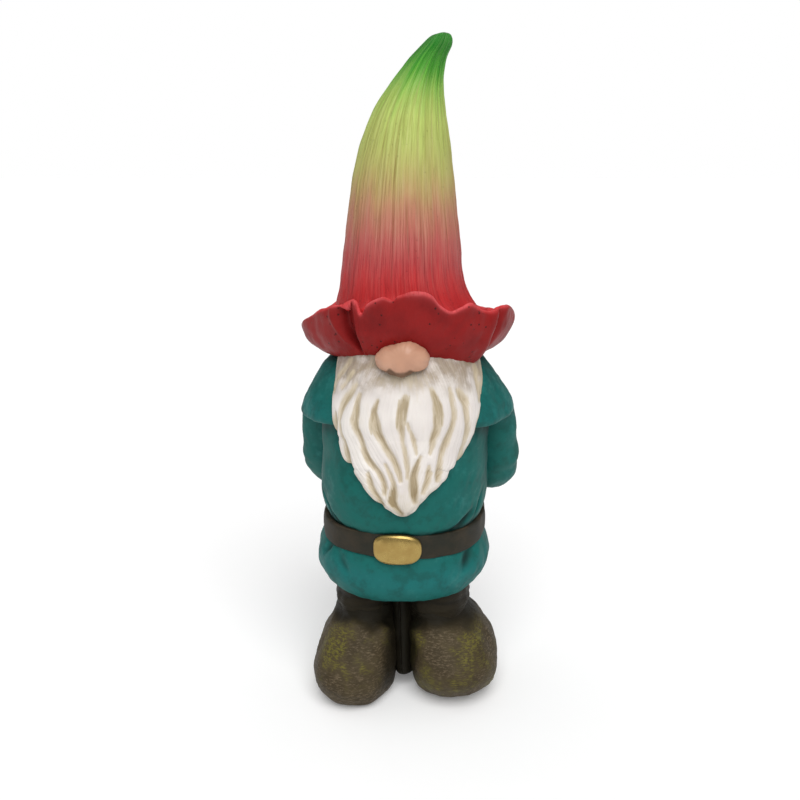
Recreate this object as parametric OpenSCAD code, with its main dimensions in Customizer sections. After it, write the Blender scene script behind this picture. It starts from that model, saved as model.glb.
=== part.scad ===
// Garden gnome with a flower-shaped hat, assembled from separate cast resin pieces.
// Millimetres. +Z is up, the figure faces -Y and stands on Z = 0.
// Left and right are the figure's own: its left side is +X.

/* [Hat] */
// Height of the hat's tip above the ground
hat_tip_z = 304.8; // [296:0.1:312]
// How far the tip leans to the figure's left
hat_lean = 17.2; // [8:0.1:20]
// Radius of the hat just above the brim
hat_base_r = 30; // [29:0.5:32]
// How far the curled brim reaches from the axis
brim_reach = 49; // [47:0.5:52]

/* [Coat] */
// Widest half-width of the coat's skirt
skirt_half_w = 42; // [40:0.5:44]
// How far the belly stands out in front
belly_reach = 45.5; // [44:0.5:46]
// Thickness of the cast walls
wall = 5; // [4:0.5:7]

/* [Arms] */
// Half-width of the figure over its elbows
elbow_half_w = 54.6; // [53:0.1:56]

/* [Belt] */
// Width of the belt's strap
belt_h = 11; // [9:0.5:12]
// How far the strap stands out of the coat
belt_t = 2; // [1.2:0.1:2.4]
// Width of the buckle
buckle_w = 22; // [18:0.5:24]
// Height of the buckle
buckle_h = 14; // [12:0.5:15]

/* [Boots] */
// Height of the boots
boot_h = 40; // [38:0.5:41]
// How far the right toe reaches in front
right_toe = 50.8; // [48:0.1:51]
// How far the left toe reaches in front
left_toe = 44; // [42:0.1:51]

/* [Joinery] */
// Diameter of the steel dowels in the legs
dowel_d = 5; // [4:0.5:6]
// Diameter of the neck
neck_d = 28; // [24:1:30]
// Diameter of the head that the hat is pushed over
head_d = 52; // [50:0.5:53]

/* [Hidden] */
$fn = 64;

hat_seat_z = 188;           // where the head's flat top meets the inside of the hat
belt_z = 79.5;              // middle of the strap
belt_low = belt_z - belt_h / 2;
belt_high = belt_z + belt_h / 2;
trousers_top = 64;
seat_r = 32;                // half-width of the trousers inside the hem
neck_z = 150;               // top of the coat's collar block
neck_depth = 12;            // how deep the neck sits in the coat
leg_x = 17;                 // middle of each leg
leg_y = -3;
hem_z = 50;                 // the coat's lower edge
skirt_z = 58;               // where the folds of the skirt are deepest
skirt_fold = 0.8;
lock_depth = 0.9;           // ripple of the beard's locks
web_t = 2;                  // the thin web of resin between the boots
dowel_len = 34;
plug_y = 19;                // the vent plug, behind the legs

// Rows are [z, half-width, front reach, back reach, x of the middle, y of the middle].
coat_rows = [
    [hem_z, 35, 35.5, 33, 0, 0],
    [52.5, 38.2, 38.6, 36.5, 0, 0],
    [57, 41, 41.5, 39.5, 0, 0],
    [63.5, skirt_half_w, 42.8, 40.5, 0, 0],
    [69, 40.6, 42.4, 39.5, 0, 0],
    [belt_low, 37.4, 40.8, 37, 0, 0],
    [belt_high, 36.9, 41, 36.6, 0, 0],
    [90, 39, 43.6, 37.6, 0, 0],
    [100, 39.6, belly_reach, 37.6, 0, 0],
    [114, 39.2, 44.6, 36.5, 0, 0],
    [127, 40, 40.6, 36, 0, 0],
    [138, 41, 36, 36, 0, 0],
    [146, 37, 31, 33, 0, 0],
    [neck_z, 30, 26, 29, 0, 0]];

cape_rows = [
    [132.6, 49.6, 39.8, 44.6, 0.3, 1],
    [134.5, 50.9, 41, 45.8, 0.3, 1],
    [141, 48, 39.6, 43.4, 0.2, 1],
    [147.5, 44.2, 37.8, 40.6, 0, 1],
    [153.5, 40.6, 35, 37, 0, 1],
    [158.4, 36.4, 32, 33.6, 0, 1],
    [160.4, 33.2, 30, 31.4, 0, 1]];

beard_rows = [
    [96.4, 2.2, 5.2, 3, 4.1, -42],
    [99.2, 6.2, 8, 4, 3, -40.5],
    [103.7, 10.8, 9.7, 4, 1.5, -39],
    [108.7, 16.4, 12.8, 5, 2, -36],
    [113.5, 20, 15.8, 6, 2.3, -33],
    [117.5, 25, 20.4, 8, 2.2, -28],
    [122, 27.4, 23, 8, 2, -25],
    [128, 29.8, 23.8, 8, 2.8, -24],
    [134, 32.2, 22.6, 8, 2.7, -24.6],
    [144, 33.6, 23.6, 10, 3.6, -22],
    [154, 33.4, 25, 14, 3.4, -18],
    [162, 31.6, 21.5, 14, 3.2, -18],
    [167, 29.6, 16, 12, 3.2, -18]];

// The hat's shape above the brim: rows are [z, radius, x of the middle], the lean scaled to hat_lean.
hat_h = hat_tip_z - 190;
hat_rows = [for (r = [
    [0, 1, -0.05],
    [0.10, 0.93, -0.09],
    [0.27, 0.86, -0.09],
    [0.45, 0.77, -0.07],
    [0.59, 0.675, -0.01],
    [0.71, 0.545, 0.095],
    [0.80, 0.415, 0.26],
    [0.89, 0.297, 0.515],
    [0.955, 0.225, 0.785],
    [0.985, 0.16, 0.915],
    [1, 0.05, 1]]) [190 + hat_h * r[0], hat_base_r * r[1], hat_lean * r[2]]];

// The brim's rim, round from the front to the figure's left: rows are [angle, change of reach, height].
rim_rows = [
    [-20, -3.5, 185.3],
    [-8, -2.2, 192],
    [10, -1.6, 194.8],
    [31, -2.3, 186.2],
    [43, -1.5, 189],
    [57, -1.3, 184.4],
    [71, 0.6, 186],
    [92, 1.6, 178.4],
    [118, -0.5, 178.8],
    [142, 0, 178.8],
    [165, -1, 184.5],
    [190, 0, 182],
    [214, -1, 185],
    [240, 0.4, 178.3],
    [264, 0.4, 174.8],
    [283, -0.5, 175.8],
    [312, -1.5, 184.3],
    [334, -2.3, 191.4]];

// Arms run from the shoulder, over the elbow, to the wrist behind the back: rows are [x, y, z, radius].
elbow_r = 12;
arm_rows = [
    [37, 7, 143, 9],
    [40, 9, 133, 11.2],
    [elbow_half_w - elbow_r - 0.6, 13, 118, 11.6],
    [elbow_half_w - elbow_r, 18, 106, elbow_r],
    [39, 26, 98, 11.4],
    [31, 34.5, 94, 10],
    [23, 38.5, 92, 9]];

// Boots: rows are [z, half-width, front as a share of the toe's, back, x of the middle, y of the middle].
left_boot_rows = [
    [0, 14.6, 0.63, 17, 23.2, -8],
    [2, 17, 0.735, 19, 23.8, -10],
    [6, 19.4, 0.875, 20.5, 24.6, -13],
    [12, 20.8, 0.985, 21.5, 25, -15],
    [19, 20.7, 0.985, 21, 24.8, -15],
    [25, 19.6, 0.91, 20, 23, -13],
    [31, 18.3, 0.79, 18.5, 20.5, -10],
    [boot_h - 4.5, 16.4, 0.7, 17, 18.4, -6],
    [boot_h, 15.1, 0.66, 16, leg_x - 0.1, -4]];
right_boot_rows = [
    [0, 14.4, 0.79, 17, 21.2, -12],
    [2, 17, 0.885, 19, 21.4, -14],
    [6, 19.2, 0.965, 20.5, 21.8, -16],
    [12, 20, 1, 21.5, 22, -17],
    [19, 19.4, 0.97, 21, 21.5, -16],
    [25, 18.3, 0.885, 20, 20.5, -14],
    [31, 17, 0.75, 18.5, 19, -10],
    [boot_h - 4.5, 16.2, 0.645, 17, 18.4, -6],
    [boot_h, 16.1, 0.59, 16, leg_x + 0.9, -4]];

// A smooth curve through the rows, at place u counted in rows.
function curve(rows, u) =
    let (last = len(rows) - 1, i = min(floor(u), last - 1), t = u - i,
         a = rows[max(i - 1, 0)], b = rows[i], c = rows[i + 1], d = rows[min(i + 2, last)])
    0.5 * (2 * b + (c - a) * t + (2 * a - 5 * b + 4 * c - d) * t * t
           + (3 * b - a - 3 * c + d) * t * t * t);

// The same curve as a list, with this many steps to each row.
function smooth(rows, steps) = [for (k = [0 : (len(rows) - 1) * steps]) curve(rows, k / steps)];

// A closed curve of [angle, reach, height] rows, read at an angle.
function round_curve(rows, angle) =
    let (n = len(rows),
         a = angle < rows[0][0] ? angle + 360 : angle,
         i = max([for (k = [0 : n - 1]) rows[k][0] <= a ? k : 0]),
         here = rows[i], next = rows[(i + 1) % n],
         span = (i == n - 1 ? 360 : 0) + next[0] - here[0],
         t = (1 - cos(180 * (a - here[0]) / span)) / 2)
    here + (next - here) * t;

// One level outline of n points: a rounded oval with its own front and back reach. Its edge can
// ripple in a number of waves, in and out by up to depth.
function oval(row, n, waves = 0, depth = 0) = [for (i = [0 : n - 1])
    let (t = 360 * i / n, c = cos(t), s = sin(t), swell = depth * cos(waves * (t + 90)))
    [row[4] + (row[1] + swell) * sign(c) * pow(abs(c), 0.89),
     row[5] + ((s < 0 ? row[2] : row[3]) + swell) * sign(s) * pow(abs(s), 0.89),
     row[0]]];

function ovals(rows, n) = [for (r = rows) oval(r, n)];

// How strong a ripple is at height z: it grows from start to full, then stays.
function fade(z, start, full) = let (t = max(0, min(1, (z - start) / (full - start)))) t * t * (3 - 2 * t);

// Rows made wider all round, or narrower when by is negative.
function grown(rows, by) = [for (r = rows) r + [0, by, by, by, 0, 0]];

// A round outline whose flats lie r from the point p, square to the direction d.
function hoop(p, d, r, n) =
    let (f = d / norm(d), s = cross(f, [0, 0, 1]), side = s / norm(s), up = cross(side, f))
    [for (i = [0 : n - 1]) p + r / cos(180 / n) * (cos(360 * i / n) * side + sin(360 * i / n) * up)];

// A solid skinned over outlines of equal length. They run upwards outside and downwards inside.
module skin(outlines, closed = false) {
    n = len(outlines[0]);
    m = len(outlines);
    sides = [for (k = [0 : m - (closed ? 1 : 2)], i = [0 : n - 1])
        let (a = k * n + i, b = k * n + (i + 1) % n,
             c = (k + 1) % m * n + (i + 1) % n, d = (k + 1) % m * n + i)
        each [[a, c, b], [a, d, c]]];
    ends = closed ? [] : [[for (i = [0 : n - 1]) i], [for (i = [n - 1 : -1 : 0]) (m - 1) * n + i]];
    polyhedron([for (o = outlines) each o], concat(sides, ends), convexity = 6);
}

// Keeps a sculpted shape as one mesh: a size of 0 leaves that side as it is.
module sculpted() resize([0, 0, 0]) children();

// A round hole or peg along Z.
module upright(d, low, high, x = 0, y = 0) translate([x, y, low]) cylinder(d = d, h = high - low);

module coat_blank() skin([for (r = smooth(coat_rows, 2))
    oval(r, 54, 9, skirt_fold * fade(r[0], belt_low, skirt_z))]);

module cape_blank() skin(ovals(smooth(cape_rows, 2), 48));

module coat() color("teal") difference() {
    sculpted() difference() {
        coat_blank();
        coat_inside();
    }
    upright(neck_d, neck_z - neck_depth - 1, neck_z + 1);
}

// The coat's cavity, upwards: the seat for the trousers, then the hollow of the casting.
module coat_inside() skin(ovals(concat(
    [seat(49), seat(trousers_top)],
    grown([for (k = [5, 7, 9, 10]) coat_rows[k]], -wall),
    [[132, 30, 28, 28, 0, 0], [neck_z - neck_depth - wall, 17, 17, 17, 0, 0]]), 48));

// The outline that the trousers fill inside the coat's hem.
function seat(z) = [z, seat_r, seat_r, seat_r - 2, 0, 0];

module shoulder_cape() color("darkcyan") sculpted() difference() {
    cape_blank();
    coat_blank();
    translate([0, 0, -3]) skin(ovals(smooth(grown(cape_rows, -2.5), 2), 48));
    upright(head_d, neck_z, 170);
}

module arm(side) {
    path = smooth(arm_rows, 2);
    n = len(path);
    place = function (k) [side * path[k][0], path[k][1], path[k][2]];
    outlines = [for (k = [0 : n - 1])
        hoop(place(k), place(min(k + 1, n - 1)) - place(max(k - 1, 0)), path[k][3], 24)];
    color("teal") sculpted() difference() {
        skin([for (k = [n - 1 : -1 : 0]) outlines[k]]);
        coat_blank();
        cape_blank();
    }
}

module left_arm() arm(1);

module right_arm() arm(-1);

module hat() color("crimson") difference() {
    skin(concat(hat_hollow(56), hat_outside(56)));
    upright(head_d, 150, hat_seat_z);
}

// The hollow from its blunt top down to the head's seat.
function hat_hollow(n) = concat(
    [let (top = curve(hat_rows, 5.5)) fluted(top[0], 3, top[2], n, 0)],
    [for (u = [5.2, 4, 2.5, 1, 0.4])
        let (at = curve(hat_rows, u))
        fluted(at[0], at[1] - wall, at[2], n, 0)],
    [fluted(hat_seat_z - 1, hat_base_r - wall - 1, 0, n, 0)]);

// From the hat's mouth out under the brim, over its rim, and up the cone to the tip.
function hat_outside(n) = concat(
    [for (b = [[0, 0.5, 0], [0, 0.7, 0], [0.03, 0.79, 0], [0.15, 0.87, 0.1], [0.36, 0.935, 0.3],
               [0.62, 0.98, 0.6], [0.86, 1, 0.86], [1, 0.985, 1], [0.97, 0.95, 1], [0.8, 0.89, 0.9],
               [0.7, 0.81, 0.7], [0.72, 0.73, 0.4]])
        brim_outline(b[0], b[1], b[2], n)],
    [for (r = smooth(hat_rows, 2)) fluted(r[0], r[1], r[2], n, 0.5 * (1 - fade(r[0], 250, 300)))]);

// A level round outline with shallow flutes down it.
function fluted(z, r, x, n, depth) = [for (i = [0 : n - 1])
    let (t = 360 * i / n, reach = r + depth * cos(12 * t))
    [x + reach * cos(t), reach * sin(t), z]];

// An outline of the brim: rise from its underside to its rim, reach as a share of the rim's,
// and how much it follows the rim's waves.
function brim_outline(rise, share, wave, n) = [for (i = [0 : n - 1])
    let (t = 360 * i / n, front = t + 90 > 344 ? t - 270 : t + 90,
         rim = round_curve(rim_rows, front),
         low = 159.8 + 4.8 * pow(cos(front / 2), 4), high = 184 + 4 * cos(front),
         z = low + (high - low) * rise + wave * (rim[2] - high),
         r = share * (brim_reach + wave * rim[1]))
    [r * cos(t), r * sin(t), z]];

module head_core() color("tan") difference() {
    union() {
        upright(head_d, neck_z, hat_seat_z);
        upright(neck_d, neck_z - neck_depth, neck_z + 1);
    }
    nose_peg();
}

module nose_peg() translate([3, -42, 165]) rotate([-90, 0, 0]) cylinder(d = 6, h = 24);

module nose() color("peachpuff") union() {
    sculpted() difference() {
        nose_lump();
        upright(head_d, neck_z, hat_seat_z);
        hat_blank();
    }
    nose_peg();
}

module nose_lump() translate([3, -39, 167]) {
    scale([10.6, 9.4, 7.4]) sphere(1, $fn = 28);
    for (side = [-1, 1]) translate([side * 5.6, -0.5, -2.2]) scale([5.8, 6.6, 5.2]) sphere(1, $fn = 24);
    translate([0, -1.5, -2.6]) scale([4.6, 7, 5.4]) sphere(1, $fn = 24);
}

// The hat without its hollow, to shape what touches it.
module hat_blank() skin(hat_outside(56));

module beard() color("ivory") difference() {
    sculpted() difference() {
        skin([for (r = smooth(beard_rows, 2))
            oval(r, 64, 14, lock_depth * fade(r[0], 152, 138) * fade(r[0], 95, 104))]);
        coat_blank();
        cape_blank();
        hat_blank();
        nose_lump();
        upright(head_d, neck_z - 2, hat_seat_z);
    }
    nose_peg();
}

module belt() color("saddlebrown") difference() {
    skin(concat(
        [for (z = [belt_high, belt_low]) belt_outline(z, 0)],
        [for (e = [[0, 0.75], [0.14, 1], [0.86, 1], [1, 0.75]])
            belt_outline(belt_low + e[0] * belt_h, e[1] * belt_t)]), closed = true);
    buckle_peg();
}

function belt_outline(z, out) =
    let (t = (z - belt_low) / belt_h, low = coat_rows[5], high = coat_rows[6],
         row = low + (high - low) * t)
    oval([z, row[1] + out, row[2] + out, row[3] + out, 0, 0], 64);

module buckle() color("gold") union() {
    sculpted() difference() {
        translate([0.5, -belly_reach + 1.5, belt_z]) scale([1, 0.32, 1]) buckle_pillow();
        skin([for (z = [belt_low - 5, belt_high + 5]) belt_outline(z, belt_t)]);
    }
    buckle_peg();
}

module buckle_pillow() hull() for (x = [-1, 1], z = [-1, 1])
    translate([x * (buckle_w / 2 - 6), 0, z * (buckle_h / 2 - 6)]) sphere(6, $fn = 28);

module buckle_peg() translate([0.5, -44, belt_z]) rotate([-90, 0, 0]) cylinder(d = 4, h = 7);

module trousers() color("darkolivegreen") difference() {
    sculpted() union() {
        for (side = [-1, 1]) skin(ovals(smooth([
            [boot_h, 15, 23, 18, side * leg_x, leg_y],
            [boot_h + 3, 15.4, 24, 19, side * leg_x, leg_y],
            [boot_h + 7, 15.2, 24.3, 19.5, side * (leg_x - 0.4), leg_y],
            [hem_z + 2.5, 15.4, 25, 20, side * (leg_x - 0.8), leg_y]], 2), 36));
        skin(ovals([seat(hem_z + 2), seat(trousers_top)], 48));
        difference() {
            for (w = [[web_t, 24], [9, 14]])
                translate([-w[0] / 2, -w[1], 8]) cube([w[0], w[1] + 12, hem_z - 6]);
            boot_blank(1, left_boot_rows, left_toe);
            boot_blank(-1, right_boot_rows, right_toe);
        }
    }
    for (side = [-1, 1]) dowel(side);
    upright(10, boot_h, trousers_top + 1, 0, plug_y);
}

module dowel(side) upright(dowel_d, boot_h - dowel_len / 2, boot_h + dowel_len / 2, side * leg_x, leg_y);

module left_leg_dowel() color("silver") dowel(1);

module right_leg_dowel() color("silver") dowel(-1);

module boot_blank(side, rows, toe) skin(ovals([for (r = smooth(rows, 2))
    [r[0], r[1], toe * r[2] + r[5], r[3] - r[5], side * r[4], r[5]]], 44));

module boot(side, rows, toe) color("dimgray") difference() {
    boot_blank(side, rows, toe);
    dowel(side);
}

module left_boot() boot(1, left_boot_rows, left_toe);

module right_boot() boot(-1, right_boot_rows, right_toe);

module hand(side) color("peachpuff") sculpted() difference() {
    hull() {
        translate([side * 19, 41.6, 91.5]) scale([6, 6.2, 7.4]) sphere(1, $fn = 24);
        translate([side * 6.1, 44.6, 89.6]) scale([5.9, 6.2, 7.6]) sphere(1, $fn = 24);
    }
    arm(side);
}

module left_hand() hand(1);

module right_hand() hand(-1);

module vent_plug() color("black") union() {
    upright(10, trousers_top - 14, trousers_top - 2, 0, plug_y);
    upright(13, trousers_top - 16, trousers_top - 14, 0, plug_y);
}

hat();
head_core();
nose();
beard();
shoulder_cape();
coat();
left_arm();
right_arm();
left_hand();
right_hand();
belt();
buckle();
trousers();
left_boot();
right_boot();
left_leg_dowel();
right_leg_dowel();
vent_plug();
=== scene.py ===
"""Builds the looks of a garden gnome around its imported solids: its pieces, paints and studio."""

import math

import bpy
import numpy as np
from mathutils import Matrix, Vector


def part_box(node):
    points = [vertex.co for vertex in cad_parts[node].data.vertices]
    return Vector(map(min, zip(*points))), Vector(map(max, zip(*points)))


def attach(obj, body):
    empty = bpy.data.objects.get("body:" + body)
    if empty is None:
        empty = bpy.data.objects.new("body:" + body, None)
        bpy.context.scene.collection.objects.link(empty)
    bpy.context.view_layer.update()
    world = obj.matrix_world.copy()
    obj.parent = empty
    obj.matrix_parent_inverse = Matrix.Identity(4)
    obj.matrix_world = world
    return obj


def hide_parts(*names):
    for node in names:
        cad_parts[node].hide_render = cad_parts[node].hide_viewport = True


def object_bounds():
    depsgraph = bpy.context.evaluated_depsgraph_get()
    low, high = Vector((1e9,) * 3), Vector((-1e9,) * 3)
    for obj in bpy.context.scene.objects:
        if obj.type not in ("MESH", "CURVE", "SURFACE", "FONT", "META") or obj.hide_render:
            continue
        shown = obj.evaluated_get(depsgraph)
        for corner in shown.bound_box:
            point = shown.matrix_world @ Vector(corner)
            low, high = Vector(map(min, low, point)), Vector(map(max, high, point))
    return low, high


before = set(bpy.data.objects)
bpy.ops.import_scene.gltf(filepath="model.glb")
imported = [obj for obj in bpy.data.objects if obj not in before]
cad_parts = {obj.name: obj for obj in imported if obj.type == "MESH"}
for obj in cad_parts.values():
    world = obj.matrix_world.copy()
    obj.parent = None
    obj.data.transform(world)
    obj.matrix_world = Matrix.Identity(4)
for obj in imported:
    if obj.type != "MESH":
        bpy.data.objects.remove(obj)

bl_info = {
    "name": "Garden Gnome",
    "version": (1, 0, 0),
    "blender": (4, 5, 0),
    "location": "3D View > Sidebar > Gnome",
    "description": "Models and paints a cast garden gnome in a flower-shaped hat",
    "category": "Add Mesh",
}

CAD_BOX = [list(corner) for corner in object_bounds()]

# The sculpted shapes below are in the design's own millimetres, on a figure DESIGN_HEIGHT tall.
DESIGN_HEIGHT = 304.8
UNIT = (CAD_BOX[1][2] - CAD_BOX[0][2]) / DESIGN_HEIGHT
TURN = 2 * math.pi

# How many waves are added up in lumps().
LUMP_WAVES = 14

# The figure's own sides: the sign of x there, and the name.
SIDES = ((1, "left"), (-1, "right"))


# --- Numbers along curves ---------------------------------------------------------------------


def box(node):
    """A CAD node's lowest and highest corners in the design's millimetres."""
    low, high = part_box(node)
    return np.array(low) / UNIT, np.array(high) / UNIT


def curve(rows, places):
    """The smooth curve through rows, read at places counted in rows."""
    rows = np.asarray(rows, float)
    last = len(rows) - 1
    places = np.clip(np.asarray(places, float), 0, last)
    start = np.minimum(places.astype(int), last - 1)
    t = (places - start)[:, None]
    before, here = rows[np.maximum(start - 1, 0)], rows[start]
    there, after = rows[start + 1], rows[np.minimum(start + 2, last)]
    bend = (2 * before - 5 * here + 4 * there - after) * t * t
    twist = (3 * here - before - 3 * there + after) * t * t * t
    return 0.5 * (2 * here + (there - before) * t + bend + twist)


def along(keys, values, x):
    """Smooth values read at x, where keys rise."""
    rows = np.asarray(values, float).reshape(len(keys), -1)
    return curve(rows, np.interp(x, keys, np.arange(len(keys))))


def around(rows, degrees):
    """Rows of [degrees, values...] that close on themselves, read smoothly at angles in degrees."""
    rows = sorted(rows)
    before = [(r[0] - 360, *r[1:]) for r in rows[-3:]]
    after = [(r[0] + 360, *r[1:]) for r in rows[:3]]
    wide = np.array(before + rows + after, float)
    return along(wide[:, 0], wide[:, 1:], degrees)


def step(low, high, x):
    """A soft step from 0 at low to 1 at high."""
    t = np.clip((x - low) / (high - low), 0, 1)
    return t * t * (3 - 2 * t)


def bump(x, middle, width):
    """A soft bump of height 1 round the middle."""
    return np.exp(-(((x - middle) / width) ** 2))


def apart(degrees, other):
    """The signed gap between two directions, in degrees."""
    return (degrees - other + 180) % 360 - 180


def from_front(angle):
    """Degrees round from the front, positive to the figure's left, of an angle round from +X."""
    return (np.degrees(angle) + 90 + 180) % 360 - 180


def squared(share, power):
    """A sine or cosine for an oval that is squarer as the power is lower. 1 leaves it round."""
    return np.sign(share) * np.abs(share) ** power


def lumps(points, size, seed):
    """Soft irregular lumps of about this size, mostly from -1 to 1."""
    dice = np.random.default_rng(seed)
    waves = dice.normal(size=(LUMP_WAVES, 3))
    lengths = dice.uniform(0.6, 1.3, LUMP_WAVES)
    waves *= (TURN / size * lengths / np.linalg.norm(waves, axis=1))[:, None]
    return np.sin(points @ waves.T + dice.uniform(0, TURN, LUMP_WAVES)).sum(1) / 3.6


# --- Meshes -----------------------------------------------------------------------------------

# How far out on a ring a point has to be, as a share of the ring, not to be one of an end's.
RING_EDGE = 0.985

# How square the level ovals of the coat, cape, belt, legs and boots are.
OVAL_POWER = 0.89


def deselect():
    bpy.ops.object.select_all(action="DESELECT")


def choose(piece):
    """Makes a piece the active one and the only one selected."""
    deselect()
    piece.select_set(True)
    bpy.context.view_layer.objects.active = piece


def shade_smooth(piece):
    choose(piece)
    bpy.ops.object.shade_smooth()


def remember(piece, name, values):
    """Keeps values on the points of a piece, for its paint to read."""
    values = np.asarray(values, np.float32)
    kind, key = ("FLOAT_VECTOR", "vector") if values.ndim == 2 else ("FLOAT", "value")
    layer = piece.data.attributes.get(name) or piece.data.attributes.new(name, kind, "POINT")
    layer.data.foreach_set(key, values.ravel())


def read(items, key, width):
    """A row of values from each item."""
    values = np.zeros(len(items) * width, np.float32)
    items.foreach_get(key, values)
    return values.reshape(-1, width).astype(float)


def recall(piece, name):
    """The values that remember() kept."""
    layer = piece.data.attributes[name]
    if layer.data_type == "FLOAT_VECTOR":
        return read(layer.data, "vector", 3)
    return read(layer.data, "value", 1)[:, 0]


def points_of(piece):
    """The points of a piece in the design's millimetres."""
    return read(piece.data.vertices, "co", 3) / UNIT


def move_points(piece, points):
    piece.data.vertices.foreach_set("co", (points * UNIT).astype(np.float32).ravel())
    piece.data.update()


def normals_of(piece):
    return read(piece.data.vertex_normals, "vector", 3)


def raise_body(name, rings, sides, levels=3):
    """A closed body raised ring by ring from a circle, then subdivided.

    rings are (x, y, z, half-width, half-depth) in millimetres. Each point of the body remembers
    how many rings up it is and which way round it lies.
    """
    deselect()
    x, y, z, width, depth = rings[0]
    bpy.ops.mesh.primitive_circle_add(
        vertices=sides, radius=UNIT, fill_type="NGON", location=Vector((x, y, z)) * UNIT
    )
    piece = bpy.context.active_object
    piece.name = piece.data.name = name
    bpy.ops.transform.resize(value=(width, depth, 1))
    bpy.ops.object.transform_apply(location=True, rotation=True, scale=True)
    bpy.ops.object.mode_set(mode="EDIT")
    bpy.ops.mesh.select_all(action="SELECT")
    for old, new in zip(rings, rings[1:]):
        rise = (Vector(new[:3]) - Vector(old[:3])) * UNIT
        bpy.ops.mesh.extrude_region_move(TRANSFORM_OT_translate={"value": rise})
        bpy.ops.transform.resize(
            value=(new[3] / old[3], new[4] / old[4], 1), center_override=Vector(new[:3]) * UNIT
        )
    bpy.ops.mesh.select_all(action="SELECT")
    bpy.ops.mesh.normals_make_consistent(inside=False)
    bpy.ops.object.mode_set(mode="OBJECT")
    rows = np.arange(len(piece.data.vertices)) // sides
    centres = np.array(rings)[rows]
    ways = (points_of(piece)[:, :2] - centres[:, :2]) / centres[:, 3:5]
    remember(piece, "row", rows)
    remember(piece, "way", np.column_stack([ways, np.zeros(len(ways))]))
    add_modifier(piece, "SUBSURF", levels=levels, render_levels=levels)
    return piece


def add_modifier(piece, kind, **settings):
    """Adds a modifier and applies it at once."""
    choose(piece)
    modifier = piece.modifiers.new(kind.title(), kind)
    for key, value in settings.items():
        setattr(modifier, key, value)
    bpy.ops.object.modifier_apply(modifier=modifier.name)


def sculpt(piece, surface, relief=None):
    """Lays a raised body on a surface, then carves it.

    surface(row, angle) gives points in millimetres. relief(row, degrees, points) gives how far
    each point moves out, and a dict of masks that the paint reads.
    """
    row, way = recall(piece, "row"), recall(piece, "way")
    angle = np.arctan2(way[:, 1], way[:, 0])
    reach = np.linalg.norm(way, axis=1)
    points = surface(row, angle)
    inner = reach < RING_EDGE
    middle = (points[inner] + surface(row[inner], angle[inner] + math.pi)) / 2
    points[inner] = middle + reach[inner, None] * (points[inner] - middle)
    move_points(piece, points)
    if relief:
        out, masks = relief(row, from_front(angle), points)
        for name, values in masks.items():
            remember(piece, name, values)
        move_points(piece, points + normals_of(piece) * out[:, None])
    shade_smooth(piece)
    return piece


def oval(rows):
    """The surface through level ovals: rows are [z, half-width, front, back, x, y]."""

    def surface(row, angle):
        at = curve(rows, row)
        depth = np.where(np.sin(angle) < 0, at[:, 2], at[:, 3])
        x = at[:, 4] + at[:, 1] * squared(np.cos(angle), OVAL_POWER)
        y = at[:, 5] + depth * squared(np.sin(angle), OVAL_POWER)
        return np.column_stack([x, y, at[:, 0]])

    return surface


def oval_rings(rows):
    """The rings of a body for raise_body(), near the surface through level ovals."""
    return [(x, y, z, width, (front + back) / 2) for z, width, front, back, x, y in rows]


def tube(path, radii):
    """The surface of a tube along a path of points, with its radius at each."""
    path = np.asarray(path, float)

    def surface(row, angle):
        here = curve(path, row)
        ahead = curve(path, row + 0.05) - curve(path, row - 0.05)
        ahead /= np.linalg.norm(ahead, axis=1)[:, None]
        side = np.cross(ahead, [0, 0, 1.0])
        side /= np.linalg.norm(side, axis=1)[:, None]
        up = np.cross(side, ahead)
        radius = curve(np.asarray(radii, float)[:, None], row)
        return here + radius * (np.cos(angle)[:, None] * side + np.sin(angle)[:, None] * up)

    return surface


def tube_rings(path, radii):
    """A rough upright stack with one ring for each point of a tube's path."""
    return [(path[0][0], path[0][1], path[0][2] + 4 * k, r, r) for k, r in enumerate(radii)]


# --- Paint ------------------------------------------------------------------------------------


class Value:
    """A socket of a material's nodes, on which arithmetic adds Math nodes."""

    def __init__(self, paint, socket):
        self.paint = paint
        self.socket = socket

    def math(self, operation, first, second):
        return self.paint.node("ShaderNodeMath", {"operation": operation}, {0: first, 1: second})

    def between(self, low, high):
        """A soft step from 0 at low to 1 at high."""
        settings = {"interpolation_type": "SMOOTHSTEP"}
        return self.paint.node("ShaderNodeMapRange", settings, {0: self, 1: low, 2: high})


def add_arithmetic(name, operation):
    """Gives Value a Math node for an operator, from either side of it."""
    setattr(Value, f"__{name}__", lambda self, other: self.math(operation, self, other))
    setattr(Value, f"__r{name}__", lambda self, other: self.math(operation, other, self))


for name, operation in (("add", "ADD"), ("sub", "SUBTRACT"), ("mul", "MULTIPLY"), ("truediv", "DIVIDE")):
    add_arithmetic(name, operation)


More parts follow.
